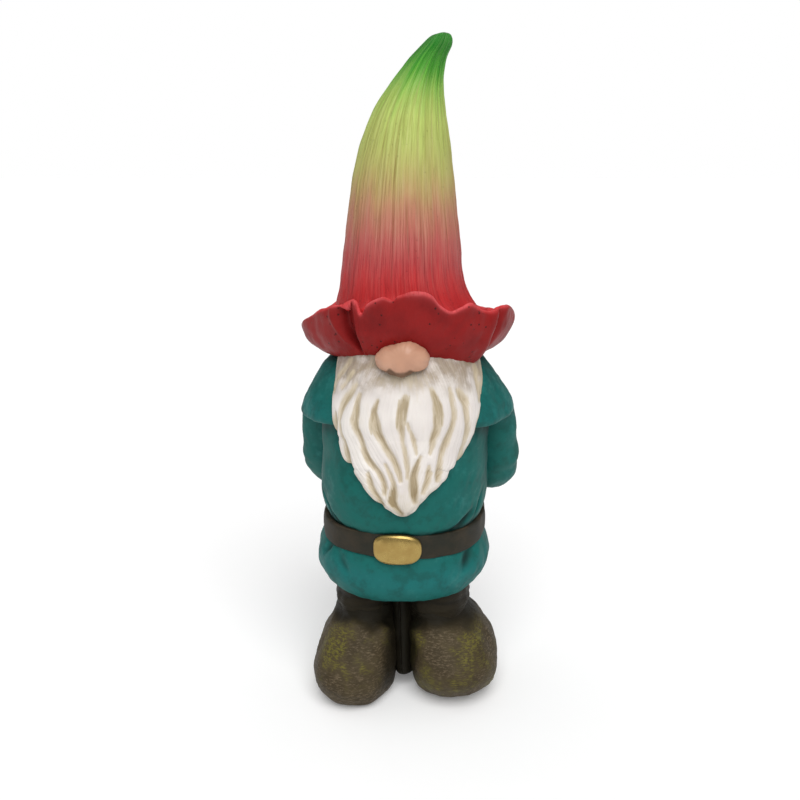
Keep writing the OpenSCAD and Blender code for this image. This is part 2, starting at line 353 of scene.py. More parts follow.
class Paint:
    """A material made of nodes."""

    def __init__(self, name):
        self.material = bpy.data.materials.new(name)
        self.material.use_nodes = True
        self.tree = self.material.node_tree
        self.tree.nodes.clear()

    def node(self, kind, settings=None, values=None, output=0):
        """Adds a node, sets it up, feeds its sockets, and gives one of its outputs."""
        node = self.tree.nodes.new(kind)
        for key, value in (settings or {}).items():
            if key == "stops":
                self.set_stops(node.color_ramp, value)
            else:
                setattr(node, key, value)
        for key, value in (values or {}).items():
            if isinstance(value, Value):
                self.tree.links.new(value.socket, node.inputs[key])
            else:
                node.inputs[key].default_value = value
        return Value(self, node.outputs[output])

    def set_stops(self, ramp, stops):
        for place, _ in stops[2:]:
            ramp.elements.new(place)
        for element, (place, colour) in zip(ramp.elements, stops):
            element.position = place
            element.color = (*colour, 1)

    def kept(self, name):
        """A mask that the sculpting kept on the mesh."""
        return self.node("ShaderNodeAttribute", {"attribute_name": name}, output="Fac")

    def kept_vector(self, name):
        return self.node("ShaderNodeAttribute", {"attribute_name": name}, output="Vector")

    def place(self):
        """Where a point is on the object, in metres."""
        return self.node("ShaderNodeTexCoord", output="Object")

    def height(self, place):
        """How high a point is, in the design's millimetres."""
        return self.node("ShaderNodeSeparateXYZ", values={0: place}, output=2) / UNIT

    def stretch(self, vector, scale):
        return self.node("ShaderNodeMapping", values={"Vector": vector, "Scale": scale})

    def noise(self, vector, scale, detail=4, rough=0.55):
        values = {"Vector": vector, "Scale": scale, "Detail": detail, "Roughness": rough}
        return self.node("ShaderNodeTexNoise", values=values)

    def specks(self, vector, scale):
        """How far each point is from the nearest of many scattered spots."""
        return self.node("ShaderNodeTexVoronoi", values={"Vector": vector, "Scale": scale})

    def ramp(self, factor, stops):
        return self.node("ShaderNodeValToRGB", {"stops": stops}, {0: factor})

    def mix(self, factor, first, second):
        """One colour, with a share of a second in it."""
        first, second = (c if isinstance(c, Value) else (*c, 1) for c in (first, second))
        values = {0: factor, 6: first, 7: second}
        return self.node("ShaderNodeMix", {"data_type": "RGBA"}, values, output=2)

    def bump(self, height, distance, strength, normal=None):
        """Fine grain on the surface, over an earlier normal if there is one."""
        values = {"Height": height, "Distance": distance, "Strength": strength}
        if normal:
            values["Normal"] = normal
        return self.node("ShaderNodeBump", values=values)

    def finish(self, colour, roughness, normal, shine=0.5, **constants):
        """Closes the material with one Principled shader. shine is its specular level."""
        values = {"Base Color": colour, "Roughness": roughness, "Normal": normal}
        values["Specular IOR Level"] = shine
        shader = self.node("ShaderNodeBsdfPrincipled", values={**values, **constants})
        output = self.tree.nodes.new("ShaderNodeOutputMaterial")
        self.tree.links.new(shader.socket, output.inputs["Surface"])
        return self.material


def srgb(red, green, blue):
    """A colour given as it looks on a screen, 0 to 255, as the light it reflects."""
    shares = [c / 255 for c in (red, green, blue)]
    return tuple(c / 12.92 if c <= 0.04045 else ((c + 0.055) / 1.055) ** 2.4 for c in shares)


# --- The hat ----------------------------------------------------------------------------------

# How far the rim reaches from the hat's middle, before it waves.
BRIM_REACH = 49

# The rim round from the front, positive to the figure's left: degrees, change of reach, height.
RIM = [
    (-165, -0.5, 183), (-142, -1, 184.5), (-118, 0.3, 177.8), (-96, 0.4, 174.6), (-78, -0.6, 175.6),
    (-65, -0.9, 179.2), (-50, -1.4, 183.8), (-41, -1.6, 186.4), (-31.5, -1.8, 189.3),
    (-25.5, -2.4, 191.3), (-23, -3, 190.3), (-20.6, -3.6, 185.5), (-18.4, -3.4, 185.3),
    (-15.5, -2.8, 188.6), (-11, -2.3, 191.2), (-6, -2.2, 192.8), (-1.5, -2.4, 191.8), (2, -2, 193.4),
    (7, -1.8, 194.6), (14, -1.6, 194.8), (19, -1.8, 193.2), (24, -2.2, 189), (31, -2.2, 186.2),
    (37, -1.6, 187.8), (43, -1.4, 188.9), (50, -1.5, 185.9), (58, -1.2, 184.4), (67, 0, 185.6),
    (76, 1, 185.4), (84, 1.6, 182.6), (92, 1.6, 178.4), (102, 1, 176.5), (118, -0.5, 178.6),
    (141, 0, 178.6), (162, -1, 184),
]  # fmt: skip

# The brim from the hat's mouth, out underneath, over the rim and down to the trough: its reach
# as a share of the rim's, and its rise as a share of the rim's.
BRIM = [
    (0.53, 0), (0.68, -0.01), (0.78, 0.05), (0.85, 0.17), (0.91, 0.33), (0.955, 0.52), (0.985, 0.72),
    (1, 0.88), (0.998, 0.96), (0.978, 1), (0.95, 0.985), (0.92, 0.92), (0.87, 0.84), (0.8, 0.8),
    (0.72, 0.86),
]  # fmt: skip

# The cone: height, radius, middle to the figure's left.
CONE = [
    (190, 30.3, -1.2), (198.5, 28.4, -1.9), (213, 26.8, -1.6), (231.5, 24.6, -1.5), (247, 22.4, -1),
    (260, 19.7, 0), (271.4, 16.4, 1.6), (281.8, 12.5, 4.5), (292.1, 8.9, 8.9), (299.2, 6.9, 13.6),
    (303.2, 4.4, 15.8), (DESIGN_HEIGHT, 0.5, 17.2),
]  # fmt: skip

# Height of the brim's underside at the hat's mouth, by degrees.
BRIM_LOW = [
    (-165, 161), (-130, 161.5), (-100, 161.5), (-75, 161.6), (-55, 161.4), (-36, 162.2), (-18, 163.8),
    (0, 165), (14, 164.2), (28, 162), (42, 159.8), (54, 158.2), (61, 158.6), (68, 162), (84, 162.4),
    (105, 161.5), (135, 161), (165, 161.5),
]  # fmt: skip

# Broad folds that run up the brim: degrees, half-width in degrees, how far each stands out.
BRIM_FOLDS = [
    (-50, 9, -0.7), (31, 6, -0.9), (72, 7, 0.8), (-72, 9, 0.6), (7, 10, 0.5), (100, 6, -1.2),
    (-98, 8, -1), (130, 9, -1.2), (-130, 10, -1.1), (152, 5, 0.8), (-155, 7, 0.7), (179, 5, -1.2),
]  # fmt: skip

# The rolled pocket beside the front petal: height, degrees of its middle, its half-width, and
# degrees of the ridge beside it.
POCKET = [
    (160, -24, 0.3, -22), (166, -24.2, 0.5, -22.2), (169, -25, 1.4, -22.3), (173, -27, 2.8, -22.4),
    (179, -29.2, 4, -22.6), (185, -29.6, 4.2, -22.8), (192, -28.6, 3.6, -23),
]  # fmt: skip


# Where along BRIM the rim turns over, and where the trough inside it starts.
RIM_ROW = 8.9
TROUGH_ROW = 11.5


def hat_surface(row, angle):
    """The brim and the cone as one surface: the rows of BRIM, then those of CONE."""
    table = [(share, 0, rise, 1, 0, 0) for share, rise in BRIM]
    table += [(0, radius, 0, 0, height, middle) for height, radius, middle in CONE]
    share, radius, rise, low_share, height, middle = curve(table, row).T
    degrees = from_front(angle)
    change, top = around(RIM, degrees).T
    low = around(BRIM_LOW, degrees)[:, 0]
    reach = share * (BRIM_REACH + change) + radius
    z = rise * (top - low) + low_share * low + height
    return np.column_stack([middle + reach * np.cos(angle), reach * np.sin(angle), z])


def scratches(degrees, z, radius, count, low, high, seed):
    """Long fine grooves that wander up a cone: 1 in the middle of each, 0 between them."""
    dice = np.random.default_rng(seed)
    total = np.zeros(len(z))
    for _ in range(count):
        turn, start = dice.uniform(-180, 180), dice.uniform(low, high - 20)
        end = start + dice.uniform(18, high - low)
        width = dice.uniform(0.28, 0.6)
        sway = dice.uniform(0.5, 2.2) * np.sin(z / dice.uniform(9, 22) + dice.uniform(0, 6))
        gap = apart(degrees, turn + sway) * np.pi / 180 * radius
        depth = dice.uniform(0.35, 1) * step(start, start + 7, z) * (1 - step(end - 9, end, z))
        total = np.maximum(total, depth * bump(gap, 0, width))
    return total


def hat_relief(row, degrees, points):
    """Scratches up the cone, and the folds, pocket and overlapping petal of the brim."""
    on_cone = step(len(BRIM) - 1.5, len(BRIM) + 1, row)
    under = 1 - step(7.5, 9, row)
    z = points[:, 2]
    turn = np.radians(degrees)
    radius = along([c[0] for c in CONE], [c[1] for c in CONE], z)[:, 0]
    fine = scratches(degrees, z, radius, 170, 183, 300, seed=3)
    bold = scratches(degrees, z, radius, 18, 186, 290, seed=8)
    flutes = np.cos(turn * 17 + 2 * np.sin(z / 30)) * (1 - step(255, 292, z))
    out = on_cone * (0.05 * flutes - 0.24 * fine - 0.42 * bold - 0.05)
    fold = np.zeros(len(row))
    for middle, width, height in BRIM_FOLDS:
        fold += height * bump(apart(degrees, middle), 0, width)
    middle, width, ridge = along([p[0] for p in POCKET], [p[1:] for p in POCKET], z).T
    hollow = bump(apart(degrees, middle), 0, width) * (1 - step(8.6, 10.5, row)) * step(2, 4, row)
    lip = bump(apart(degrees, middle - 1.9 * width), 0, 1.6) + 1.9 * bump(apart(degrees, ridge), 0, 1)
    overlap = apart(degrees, 60 + 0.02 * (z - 172) ** 2)
    petal = step(-9, -1, overlap) * (1 - step(0, 2.2, overlap)) - 1.5 * bump(overlap, 3, 2.4)
    strength = under * step(0.5, 3, row) * (0.35 + 0.65 * step(2, 7, row))
    out += strength * (fold + 0.8 * lip + 1.5 * petal) - 5.4 * hollow
    out += (1 - 0.6 * on_cone) * (0.22 * lumps(points, 13, 4) + 0.1 * lumps(points, 5, 5))
    pocket = np.clip(hollow * (0.5 + 0.7 * step(176, 168, z)), 0, 1)
    pit = bump(apart(degrees, -1), 0, 0.9) * bump(row, 9.6, 1.1)
    pit += bump(apart(degrees, -23.6), 0, 0.8) * bump(z, 168.4, 1.2) * under
    out -= 1.3 * pit
    seam = bump(overlap, 1.6, 1.3) * under * step(1, 3, row)
    trough = step(TROUGH_ROW - 1, TROUGH_ROW + 1, row) * (1 - step(TROUGH_ROW + 3, TROUGH_ROW + 5, row))
    # Painted shade: the groove mask darkens the cone's scratches, the pocket towards its bottom, the pits,
    # the seam under the overlapping petal and the trough inside the rim.
    hidden = pocket + pit + 0.4 * seam + 0.5 * trough
    masks = {
        "groove": np.clip(on_cone * (0.6 * fine + 0.8 * bold) + hidden, 0, 1),
        "rim": bump(row, RIM_ROW, 1.1),
        "under": under,
        "flow": np.column_stack([26 * np.cos(turn), 26 * np.sin(turn), z * 0.02]),
    }
    return out, masks


def hat_paint(look):
    """Red at the brim, through yellow to green at the tip, in streaks that run up the cone."""
    paint = Paint("hat_paint")
    low, high = box("hat")
    place = paint.place()
    share = (paint.height(place) - float(low[2])) / float(high[2] - low[2])
    flow = paint.kept_vector("flow")
    streak = paint.noise(flow, 0.9, detail=6, rough=0.65)
    broad = paint.noise(flow, 0.16, detail=2)
    blotch = paint.noise(place, 60, detail=5, rough=0.6)
    shifted = share + (streak - 0.5) * 0.08 + (broad - 0.5) * 0.12 + (blotch - 0.5) * 0.05
    stops = [
        (0.2, tuple(look.hat_red)), (0.3, srgb(179, 69, 70)), (0.37, srgb(180, 92, 86)),
        (0.446, srgb(181, 120, 98)), (0.483, srgb(181, 134, 100)), (0.52, srgb(180, 150, 101)),
        (0.59, srgb(179, 176, 103)), (0.665, srgb(179, 190, 104)), (0.74, srgb(180, 199, 105)),
        (0.8, srgb(158, 192, 91)), (0.84, srgb(134, 187, 80)), (0.895, srgb(76, 160, 44)),
        (0.96, tuple(look.hat_green)), (1, srgb(52, 144, 48)),
    ]  # fmt: skip
    colour = paint.ramp(shifted, stops)
    under = paint.kept("under")
    # Painted shade: the brim's underside is a darker red.
    underside_shade = paint.mix(blotch.between(0.35, 0.7), srgb(133, 23, 22), srgb(112, 16, 16))
    colour = paint.mix(under * 0.95, colour, underside_shade)
    worn = paint.kept("rim") * (0.2 + 0.8 * blotch.between(0.44, 0.6))
    colour = paint.mix(worn * 0.7, colour, srgb(214, 92, 96))
    line = paint.noise(flow, 2.4, detail=3, rough=0.5)
    lines = (line.between(0.44, 0.34) + line.between(0.62, 0.7) * 0.4) * (1 - under)
    groove = paint.kept("groove")
    shade = paint.mix(share.between(0.3, 0.5), srgb(92, 16, 18), srgb(128, 96, 52))
    shade = paint.mix(share.between(0.78, 0.9), shade, srgb(30, 84, 30))
    colour = paint.mix(groove * 0.6, colour, shade)
    colour = paint.mix(lines * 0.2, colour, shade)
    light = line.between(0.5, 0.62) * (1 - under) * share.between(0.12, 0.45) * 0.1
    colour = paint.mix(light, colour, srgb(236, 214, 190))
    pits = 1 - paint.specks(place, 330).between(0.1, 0.2)
    pits = pits * paint.noise(place, 85, detail=1).between(0.46, 0.52)
    pits = pits * (0.2 + 0.8 * under)
    colour = paint.mix(pits * 0.85, colour, srgb(40, 12, 12))
    normal = paint.bump(streak * 0.3 + line * 0.5 + blotch * 0.3 - lines - pits, 0.0004, 0.5)
    roughness = 0.45 + (blotch - 0.5) * 0.25 + groove * 0.2
    return paint.finish(colour, roughness, normal, shine=0.14)


# --- The beard --------------------------------------------------------------------------------

# The body that the beard lies on: height, half-width, front.
BEARD_BED = [
    (90, 39.5, 44.8), (98, 39.8, 45.4), (106, 39.7, 45.2), (116, 39.4, 43.6), (124, 41.5, 41.6),
    (130, 46, 40.2), (136, 49.5, 39.8), (142, 47.5, 38.6), (150, 43, 36), (158, 37.5, 32),
    (164, 34.5, 28), (171, 33, 24),
]  # fmt: skip

# Down the beard: height, its edge on the figure's right and on its left, how thick it lies in
# the middle and at its edges.
BEARD = [
    (169, -25, 31, 8, 2), (165, -27.6, 33.6, 9, 3), (160, -29, 35.2, 9.6, 3.4),
    (154, -29.8, 36.4, 9, 3.4), (147, -30, 36.8, 8, 3.2), (141, -29.8, 36.2, 7.2, 3),
    (135.5, -29.5, 34.8, 6.6, 3), (131.5, -29, 33.9, 6.2, 3), (129.8, -28.3, 33.2, 6, 2.9),
    (128.6, -27, 32.7, 6, 2.9),
    (125.5, -26.2, 31.5, 5.6, 2.8), (122, -25.3, 29.5, 5.2, 2.8), (119.4, -24.2, 28.3, 5, 2.7),
    (117.9, -23, 27.5, 4.9, 2.6), (116.9, -21.3, 26, 4.9, 2.6), (116.1, -19.4, 23.7, 4.8, 2.6),
    (114.4, -18.7, 22.9, 4.8, 2.5), (111.8, -16.9, 21.9, 4.6, 2.4), (110.2, -15.4, 20.2, 4.5, 2.3),
    (108.5, -14.2, 17.8, 4.4, 2.3), (106, -11.8, 15, 4.3, 2.2), (103.6, -9.3, 12.3, 4.1, 2.1),
    (101.4, -6.2, 10.5, 3.9, 2), (99.2, -3, 9, 3.6, 1.9), (97.6, -0.2, 7.2, 3.1, 1.7),
    (96.6, 2, 6, 2.4, 1.2), (96.1, 3.4, 5, 1.4, 0.5),
]  # fmt: skip

# How far round the beard's own section its front reaches, in radians each way.
FRONT_SHARE = 0.72 * math.pi

# Grooves between the beard's locks: points of x, height and half-width.
GROOVES = [
    [(-21, 163, 0.2), (-22.9, 160, 0.5), (-25.9, 156, 0.5), (-28.2, 152, 0.4), (-29, 148.5, 0.2)],
    [(-27.2, 140, 0.2), (-27.4, 138.3, 0.5), (-27.5, 134.3, 0.6), (-27.8, 130, 0.7), (-27.6, 128, 0.7)],
    [(-17.4, 153.4, 0.2), (-19.7, 149.6, 0.7), (-21.7, 147, 1), (-23.6, 143.8, 0.9), (-24.7, 140.4, 0.6),
     (-25.6, 136.5, 0.3), (-24.7, 131.5, 0.25), (-23.2, 127.5, 0.3)],
    [(-15.6, 149.5, 0.3), (-16.7, 146, 0.8), (-17.2, 141.7, 1.1), (-18, 138.2, 1.6), (-17.3, 134.6, 1.3),
     (-16, 132, 0.9), (-14.3, 127.4, 0.8), (-13.4, 124.2, 1), (-12, 121.4, 1.1), (-9.6, 118.8, 1),
     (-7.5, 116.8, 0.8), (-5.9, 114.4, 0.8), (-4.6, 112, 0.7), (-4, 109.4, 0.6), (-4.3, 107, 0.3)],
    [(-7.6, 147.4, 0.3), (-9.2, 142.4, 0.9), (-8.6, 138.3, 1.7), (-8.2, 135.5, 1.8), (-7.3, 132.6, 1.3),
     (-5.5, 129.7, 0.9), (-3.9, 126.9, 0.9), (-2.5, 125, 0.8), (-0.5, 121.9, 0.9), (0.7, 119.4, 0.8),
     (2, 116.4, 0.6), (2.7, 113, 0.3)],
    [(-3.9, 119.6, 0.2), (-1.7, 115.5, 0.4), (-0.3, 112.1, 0.5), (0, 109.6, 0.7), (-0.5, 106.6, 1.3),
     (-0.6, 103.8, 1.3), (0.4, 101.6, 1), (1.8, 99.6, 0.6), (3.2, 97.8, 0.4)],
    [(4.4, 149.4, 0.5), (3.9, 147, 1.3), (3.1, 142.4, 1.6), (2.6, 137.7, 1.5), (3, 134, 0.9),
     (3.4, 129.5, 0.4), (4.2, 126.6, 0.4), (4.8, 123.6, 0.5), (5.4, 120.3, 0.5), (5.8, 117.3, 0.4),
     (5.8, 114.2, 0.2)],
    [(5.4, 138, 0.2), (7.1, 133.4, 0.4), (8.1, 130.4, 0.5), (8.8, 127.6, 0.3), (9.4, 124.4, 0.15)],
    [(11.2, 123.2, 0.3), (10, 120.3, 0.7), (8.8, 116.9, 1), (8.1, 113.8, 1.4), (8.2, 109.6, 1.5),
     (8.6, 106.2, 1.1), (8.9, 103.4, 0.4)],
    [(14.8, 118.8, 0.2), (14.8, 116, 0.8), (14.2, 112.7, 0.7), (13.2, 109.8, 0.5), (12.3, 107.4, 0.2)],
    [(15.4, 152.6, 0.2), (16.2, 150.6, 0.6), (17.3, 147.7, 0.9), (18.2, 144.5, 1.5), (18.4, 141.2, 1.8),
     (18.2, 137.4, 1.7), (17.5, 133.7, 1.3), (16.3, 130.5, 0.9), (15.9, 127.6, 0.6), (15.2, 124.4, 0.2)],
    [(22.9, 152, 0.2), (23.6, 149.6, 0.5), (24.5, 146, 0.5), (25.1, 142.6, 0.5), (25.1, 139.5, 0.6),
     (24.4, 136.4, 0.8), (23.3, 132.6, 0.9), (21.9, 129.5, 0.9), (20.6, 126, 0.8), (19.6, 121.8, 0.7),
     (19.1, 118.4, 0.8), (18.9, 115.4, 1), (18.6, 112.4, 0.6)],
    [(26.2, 151.4, 0.2), (28, 148.4, 0.9), (29.3, 146.6, 1), (29.9, 144.4, 0.7), (30.3, 140.8, 0.5),
     (30.8, 136, 0.6), (30.7, 132.3, 0.7), (29.9, 129.4, 0.5), (28.9, 126, 0.4), (27.7, 122, 0.4),
     (26.9, 118.4, 0.5), (26.6, 116, 0.6)],
    [(32.6, 159.5, 0.2), (33.4, 157, 0.35), (34, 154, 0.35), (34.8, 151, 0.35), (35.6, 147.8, 0.35),
     (35.9, 144.5, 0.2)],
    [(-19, 158, 0.15), (-22.2, 154, 0.3), (-24.2, 151, 0.15)],
    [(-23.2, 128, 0.2), (-22.5, 124.8, 0.6), (-21.8, 122, 0.9), (-21.2, 119.8, 0.8), (-20.4, 117.6, 0.7),
     (-19.8, 116, 0.7)],
    [(-11.8, 115.2, 0.2), (-10.9, 112, 0.6), (-10, 109.5, 0.6), (-8.4, 106.7, 0.6), (-6.7, 104.3, 0.5),
     (-5.3, 101.8, 0.4)],
]  # fmt: skip

# Dark lines along one side of the wider grooves.
SLITS = [
    [(-7.6, 146.8, 0.2), (-9.4, 143, 0.35), (-10.4, 139.5, 0.35), (-10.7, 136.4, 0.3),
     (-10.2, 132.6, 0.1)],
    [(16, 151.4, 0.2), (17.6, 148.4, 0.4), (19.4, 145, 0.4), (20.3, 141.4, 0.3), (20.2, 137, 0.1)],
    [(1.7, 148, 0.1), (1.4, 143.4, 0.35), (1, 139.6, 0.35), (0.9, 136, 0.1)],
    [(6.2, 149.6, 0.1), (5.2, 145.6, 0.3), (4.6, 142.2, 0.3), (4.4, 137.6, 0.1)],
    [(-1.9, 105.4, 0.2), (-2, 103, 0.5), (-0.8, 101.3, 0.3)],
    [(10.2, 121.6, 0.3), (9.1, 118, 0.5), (8.6, 115, 0.4), (9.5, 111, 0.2), (9.6, 107.4, 0.15)],
]  # fmt: skip

# Lines that the beard's strands follow, from one edge to the other: x at these heights.
STRAND_HEIGHTS = (97, 103, 110, 118, 126, 134, 142, 150, 158, 165)
STRANDS = [
    (2, -8.6, -15.4, -22.9, -26.3, -29.4, -30, -30, -29.6, -28),
    (2.6, -7, -13, -20.6, -22.9, -25.6, -24.2, -19.4, -16, -14),
    (3, -2, -4, -8.7, -13.8, -17, -17, -15, -11, -8),
    (3.4, 2.8, 2.8, 1.3, -3, -7.8, -9.3, -7.5, -4, -2),
    (4, 4.8, 5.6, 5.7, 4.4, 3, 3, 4, 3, 2.5),
    (5, 8.8, 8.2, 9.2, 12.6, 17.6, 18.2, 16, 13, 10),
    (5.4, 9.8, 14, 19, 20.6, 23.7, 25, 23.6, 20, 16),
    (5.7, 10.6, 18, 27, 29, 30.8, 30.3, 27, 25, 22),
    (6, 11.6, 20, 27.6, 31.6, 35, 36.9, 37, 35.8, 34),
]


# How much the strands' own measure grows from one line to the next.
STRAND_STEP = 7


def beard_surface(row, angle):
    """The beard lying on its bed, with its back sunk 4 mm into it."""
    z, low, high, thick, edge = curve(BEARD, row).T
    turn = (angle + 1.5 * math.pi) % TURN - math.pi
    in_front = np.abs(turn) < FRONT_SHARE
    back = np.sign(turn) * (math.pi - np.abs(turn)) / (math.pi - FRONT_SHARE)
    across = np.sin(np.where(in_front, turn / FRONT_SHARE, back) * math.pi / 2)
    x = (low + high) / 2 + (high - low) / 2 * across
    wide, front = along([b[0] for b in BEARD_BED], [b[1:] for b in BEARD_BED], z).T
    bed = front * (1 - np.clip(np.abs(x) / wide, 0, 0.98) ** 2.25) ** 0.445
    lies = (edge + (thick - edge) * np.sqrt(1 - across**2)) * np.sqrt(1 - across**12)
    lies = np.where(in_front, lies, -4 * np.sqrt(1 - across**4))
    return np.column_stack([x, -bed - lies, z])


def gap_to(line, x, z):
    """How far points are from a line, and the line's half-width where it is nearest."""
    best, width = np.full(len(x), np.inf), np.ones(len(x))
    for (x0, z0, w0), (x1, z1, w1) in zip(line, line[1:]):
        along_x, along_z = x1 - x0, z1 - z0
        t = ((x - x0) * along_x + (z - z0) * along_z) / (along_x**2 + along_z**2)
        t = np.clip(t, 0, 1)
        gap = np.hypot(x - x0 - t * along_x, z - z0 - t * along_z)
        nearer = gap < best
        best, width = np.where(nearer, gap, best), np.where(nearer, w0 + t * (w1 - w0), width)
    return best, width


def beard_relief(row, degrees, points):
    """Grooves and slits between rounded locks, fine strands, and a smooth moustache."""
    x, z = points[:, 0], points[:, 2]
    valley, wash = np.zeros(len(x)), np.zeros(len(x))
    for groove in GROOVES:
        gap, width = gap_to(groove, x, z)
        deep = np.clip(0.35 + 0.5 * width, 0, 0.9)
        reach = np.clip(np.hypot(gap, 0.3 * width) / (width + 2.3), 0, 1)
        valley += (deep * (1 - np.sin(reach * math.pi / 2))) ** 4
        wash = np.maximum(wash, deep * (1 - step(0.2 * width, width + 1.3, gap)))
    valley = valley**0.25
    slit = np.max([1 - step(-0.1, 0.6, np.subtract(*gap_to(line, x, z))) for line in SLITS], axis=0)
    tall = along((94, 99, 106, 116, 150, 156, 160), (1.3, 2, 2.5, 2.7, 2.5, 1.6, 1), z)[:, 0]
    lines = np.array([along(STRAND_HEIGHTS, places, z)[:, 0] for places in STRANDS])
    lock = np.clip((x[None] > lines).sum(0) - 1, 0, len(STRANDS) - 2)
    index = np.arange(len(x))
    start, end = lines[lock, index], lines[lock + 1, index]
    strand = (lock + np.clip((x - start) / np.maximum(end - start, 0.5), 0, 1)) * STRAND_STEP
    fine = np.sin(strand * 5.2 + 0.8 * np.sin(z / 5)) + 0.7 * np.sin(strand * 9.1 + np.sin(z / 7) + 2)
    moustache = step(146, 157.5, z + 0.16 * np.abs(x - 3) - 3 + lumps(points, 9, 15))
    broad = np.sin(strand * 1.3 + 1.6 * np.sin(z / 5 + strand / 9))
    dip = bump(x, 3.5, 10) * bump(z, 156, 3)
    side = step(100, 128, np.abs(degrees))
    out = tall * (0.3 * (1 - side) - valley) - 0.2 * slit - 0.6 * dip
    out += 0.06 * fine + moustache * 0.16 * broad + 0.16 * lumps(points, 7, 12)
    masks = {
        "groove": np.clip(wash + 0.12 * valley + 0.45 * slit + 0.35 * dip + 0.6 * side, 0, 1),
        "flow": np.column_stack([strand, z * 0.09, 0 * z]),
        "moustache": moustache,
    }
    return out, masks


def beard_paint(look):
    """White locks, brown washed into the grooves, and a dusty moustache."""
    paint = Paint("beard_paint")
    place = paint.place()
    flow = paint.kept_vector("flow")
    strand = paint.noise(flow, 1.5, detail=5, rough=0.62)
    blotch = paint.noise(place, 90, detail=5, rough=0.6)
    broad = paint.noise(place, 38, detail=2)
    groove = paint.kept("groove")
    tip = paint.height(place).between(120, 100)
    stain = groove * (0.2 + strand * 1.3) + (strand - 0.5) * 0.55 + (blotch - 0.5) * 0.45
    stain = stain + tip * 0.22
    moustache = paint.kept("moustache")
    colour = paint.mix(broad.between(0.4, 0.65) * 0.7, tuple(look.beard_white), srgb(214, 206, 202))
    dusty = moustache * (0.3 + 0.7 * (blotch * 0.75 + strand * 0.25).between(0.38, 0.58))
    colour = paint.mix(dusty * 0.95, colour, srgb(155, 140, 122))
    patch = moustache * (broad * 0.6 + blotch * 0.4).between(0.52, 0.6)
    colour = paint.mix(patch * 0.5, colour, srgb(150, 134, 108))
    colour = paint.mix(stain.between(0, 0.45) * 0.85, colour, srgb(198, 184, 158))
    colour = paint.mix(stain.between(0.4, 0.95) * (0.6 + tip * 0.35), colour, tuple(look.beard_wash))
    normal = paint.bump(strand, 0.0006, 0.4)
    normal = paint.bump(blotch, 0.0005, 0.5, normal)
    return paint.finish(colour, 0.45 + groove * 0.3, normal, shine=0.4)


# --- The nose ---------------------------------------------------------------------------------

# Soft blobs that make the nose: x, y, z from its middle, then its three half-sizes.
NOSE_BLOBS = [
    (0, 0, 0.2, 12, 9.4, 7), (-6.6, -0.4, -2.1, 6.8, 7.6, 5.8), (6.2, -0.4, -1.7, 6.2, 7.4, 5.6),
    (-0.8, -2, -4, 5.4, 7.8, 6.2), (2.2, -1, 2, 6.6, 8.2, 6.4),
]  # fmt: skip


# How far the nose's middle is behind its front, and how sharply the blobs keep apart.
NOSE_DEPTH = 9.4
NOSE_SHARPNESS = 0.8

# How far each of the nose's rings is turned up from straight down, in degrees.
NOSE_TILTS = [1, 14, 30, 50, 72, 95, 118, 140, 160, 178]


def nose_surface(row, angle):
    """Where lines from the nose's middle leave its blobs, blended."""
    low, high = box("nose")
    middle = np.array([(low[0] + high[0]) / 2, low[1] + NOSE_DEPTH, (low[2] + high[2]) / 2])
    tilt = np.radians(curve([[tilt] for tilt in NOSE_TILTS], row)[:, 0])
    ways = np.column_stack([np.sin(tilt) * np.cos(angle), -np.cos(tilt), np.sin(tilt) * np.sin(angle)])
    total = np.zeros(len(row))
    for x, y, z, wide, deep, tall in NOSE_BLOBS:
        sizes = np.array([wide, deep, tall])
        way, start = ways / sizes, -np.array([x, y, z]) / sizes
        a, b = (way**2).sum(1), (way * start).sum(1)
        inside = np.clip(b * b - a * ((start**2).sum() - 1), 0, None)
        total += np.exp(NOSE_SHARPNESS * (-b + np.sqrt(inside)) / a)
    reach = np.log(total / 3) / NOSE_SHARPNESS
    return middle + ways * reach[:, None]


def nose_relief(row, degrees, points):
    """Two creases under the nose, with a dark underside."""
    low, high = box("nose")
    x = points[:, 0] - (low[0] + high[0]) / 2
    z = points[:, 2] - low[2]
    creases = 1.4 * bump(x, -5, 1.3) + 0.7 * bump(x, 3.6, 1.2)
    under = step(4.6, 1.6, z)
    out = 0.12 * lumps(points, 7, 21) - 0.6 * creases * under
    return out, {"groove": np.clip(0.85 * creases * under + 0.8 * step(3, 0.4, z), 0, 1)}


def skin_paint(look):
    """Skin with a brown wash in its creases, and painted shade on the hands near the sleeves and under the
    fingers.
    """
    paint = Paint("skin_paint")
    place = paint.place()
    blotch = paint.noise(place, 110, detail=5, rough=0.6)
    broad = paint.noise(place, 45, detail=2)
    groove = paint.kept("groove")
    colour = paint.mix(broad.between(0.35, 0.7), tuple(look.skin), srgb(186, 138, 112))
    colour = paint.mix(blotch.between(0.5, 0.8) * 0.35, colour, srgb(168, 118, 90))
    # The kept mask is a brown wash on the nose and painted shade on the hands.
    stain = (groove + (blotch - 0.5) * 0.3).between(0.25, 0.9)
    colour = paint.mix(stain * 0.85, colour, srgb(78, 56, 34))
    normal = paint.bump(blotch, 0.0003, 0.4)
    return paint.finish(colour, 0.4 + groove * 0.3, normal, shine=0.45)


# --- The coat ---------------------------------------------------------------------------------

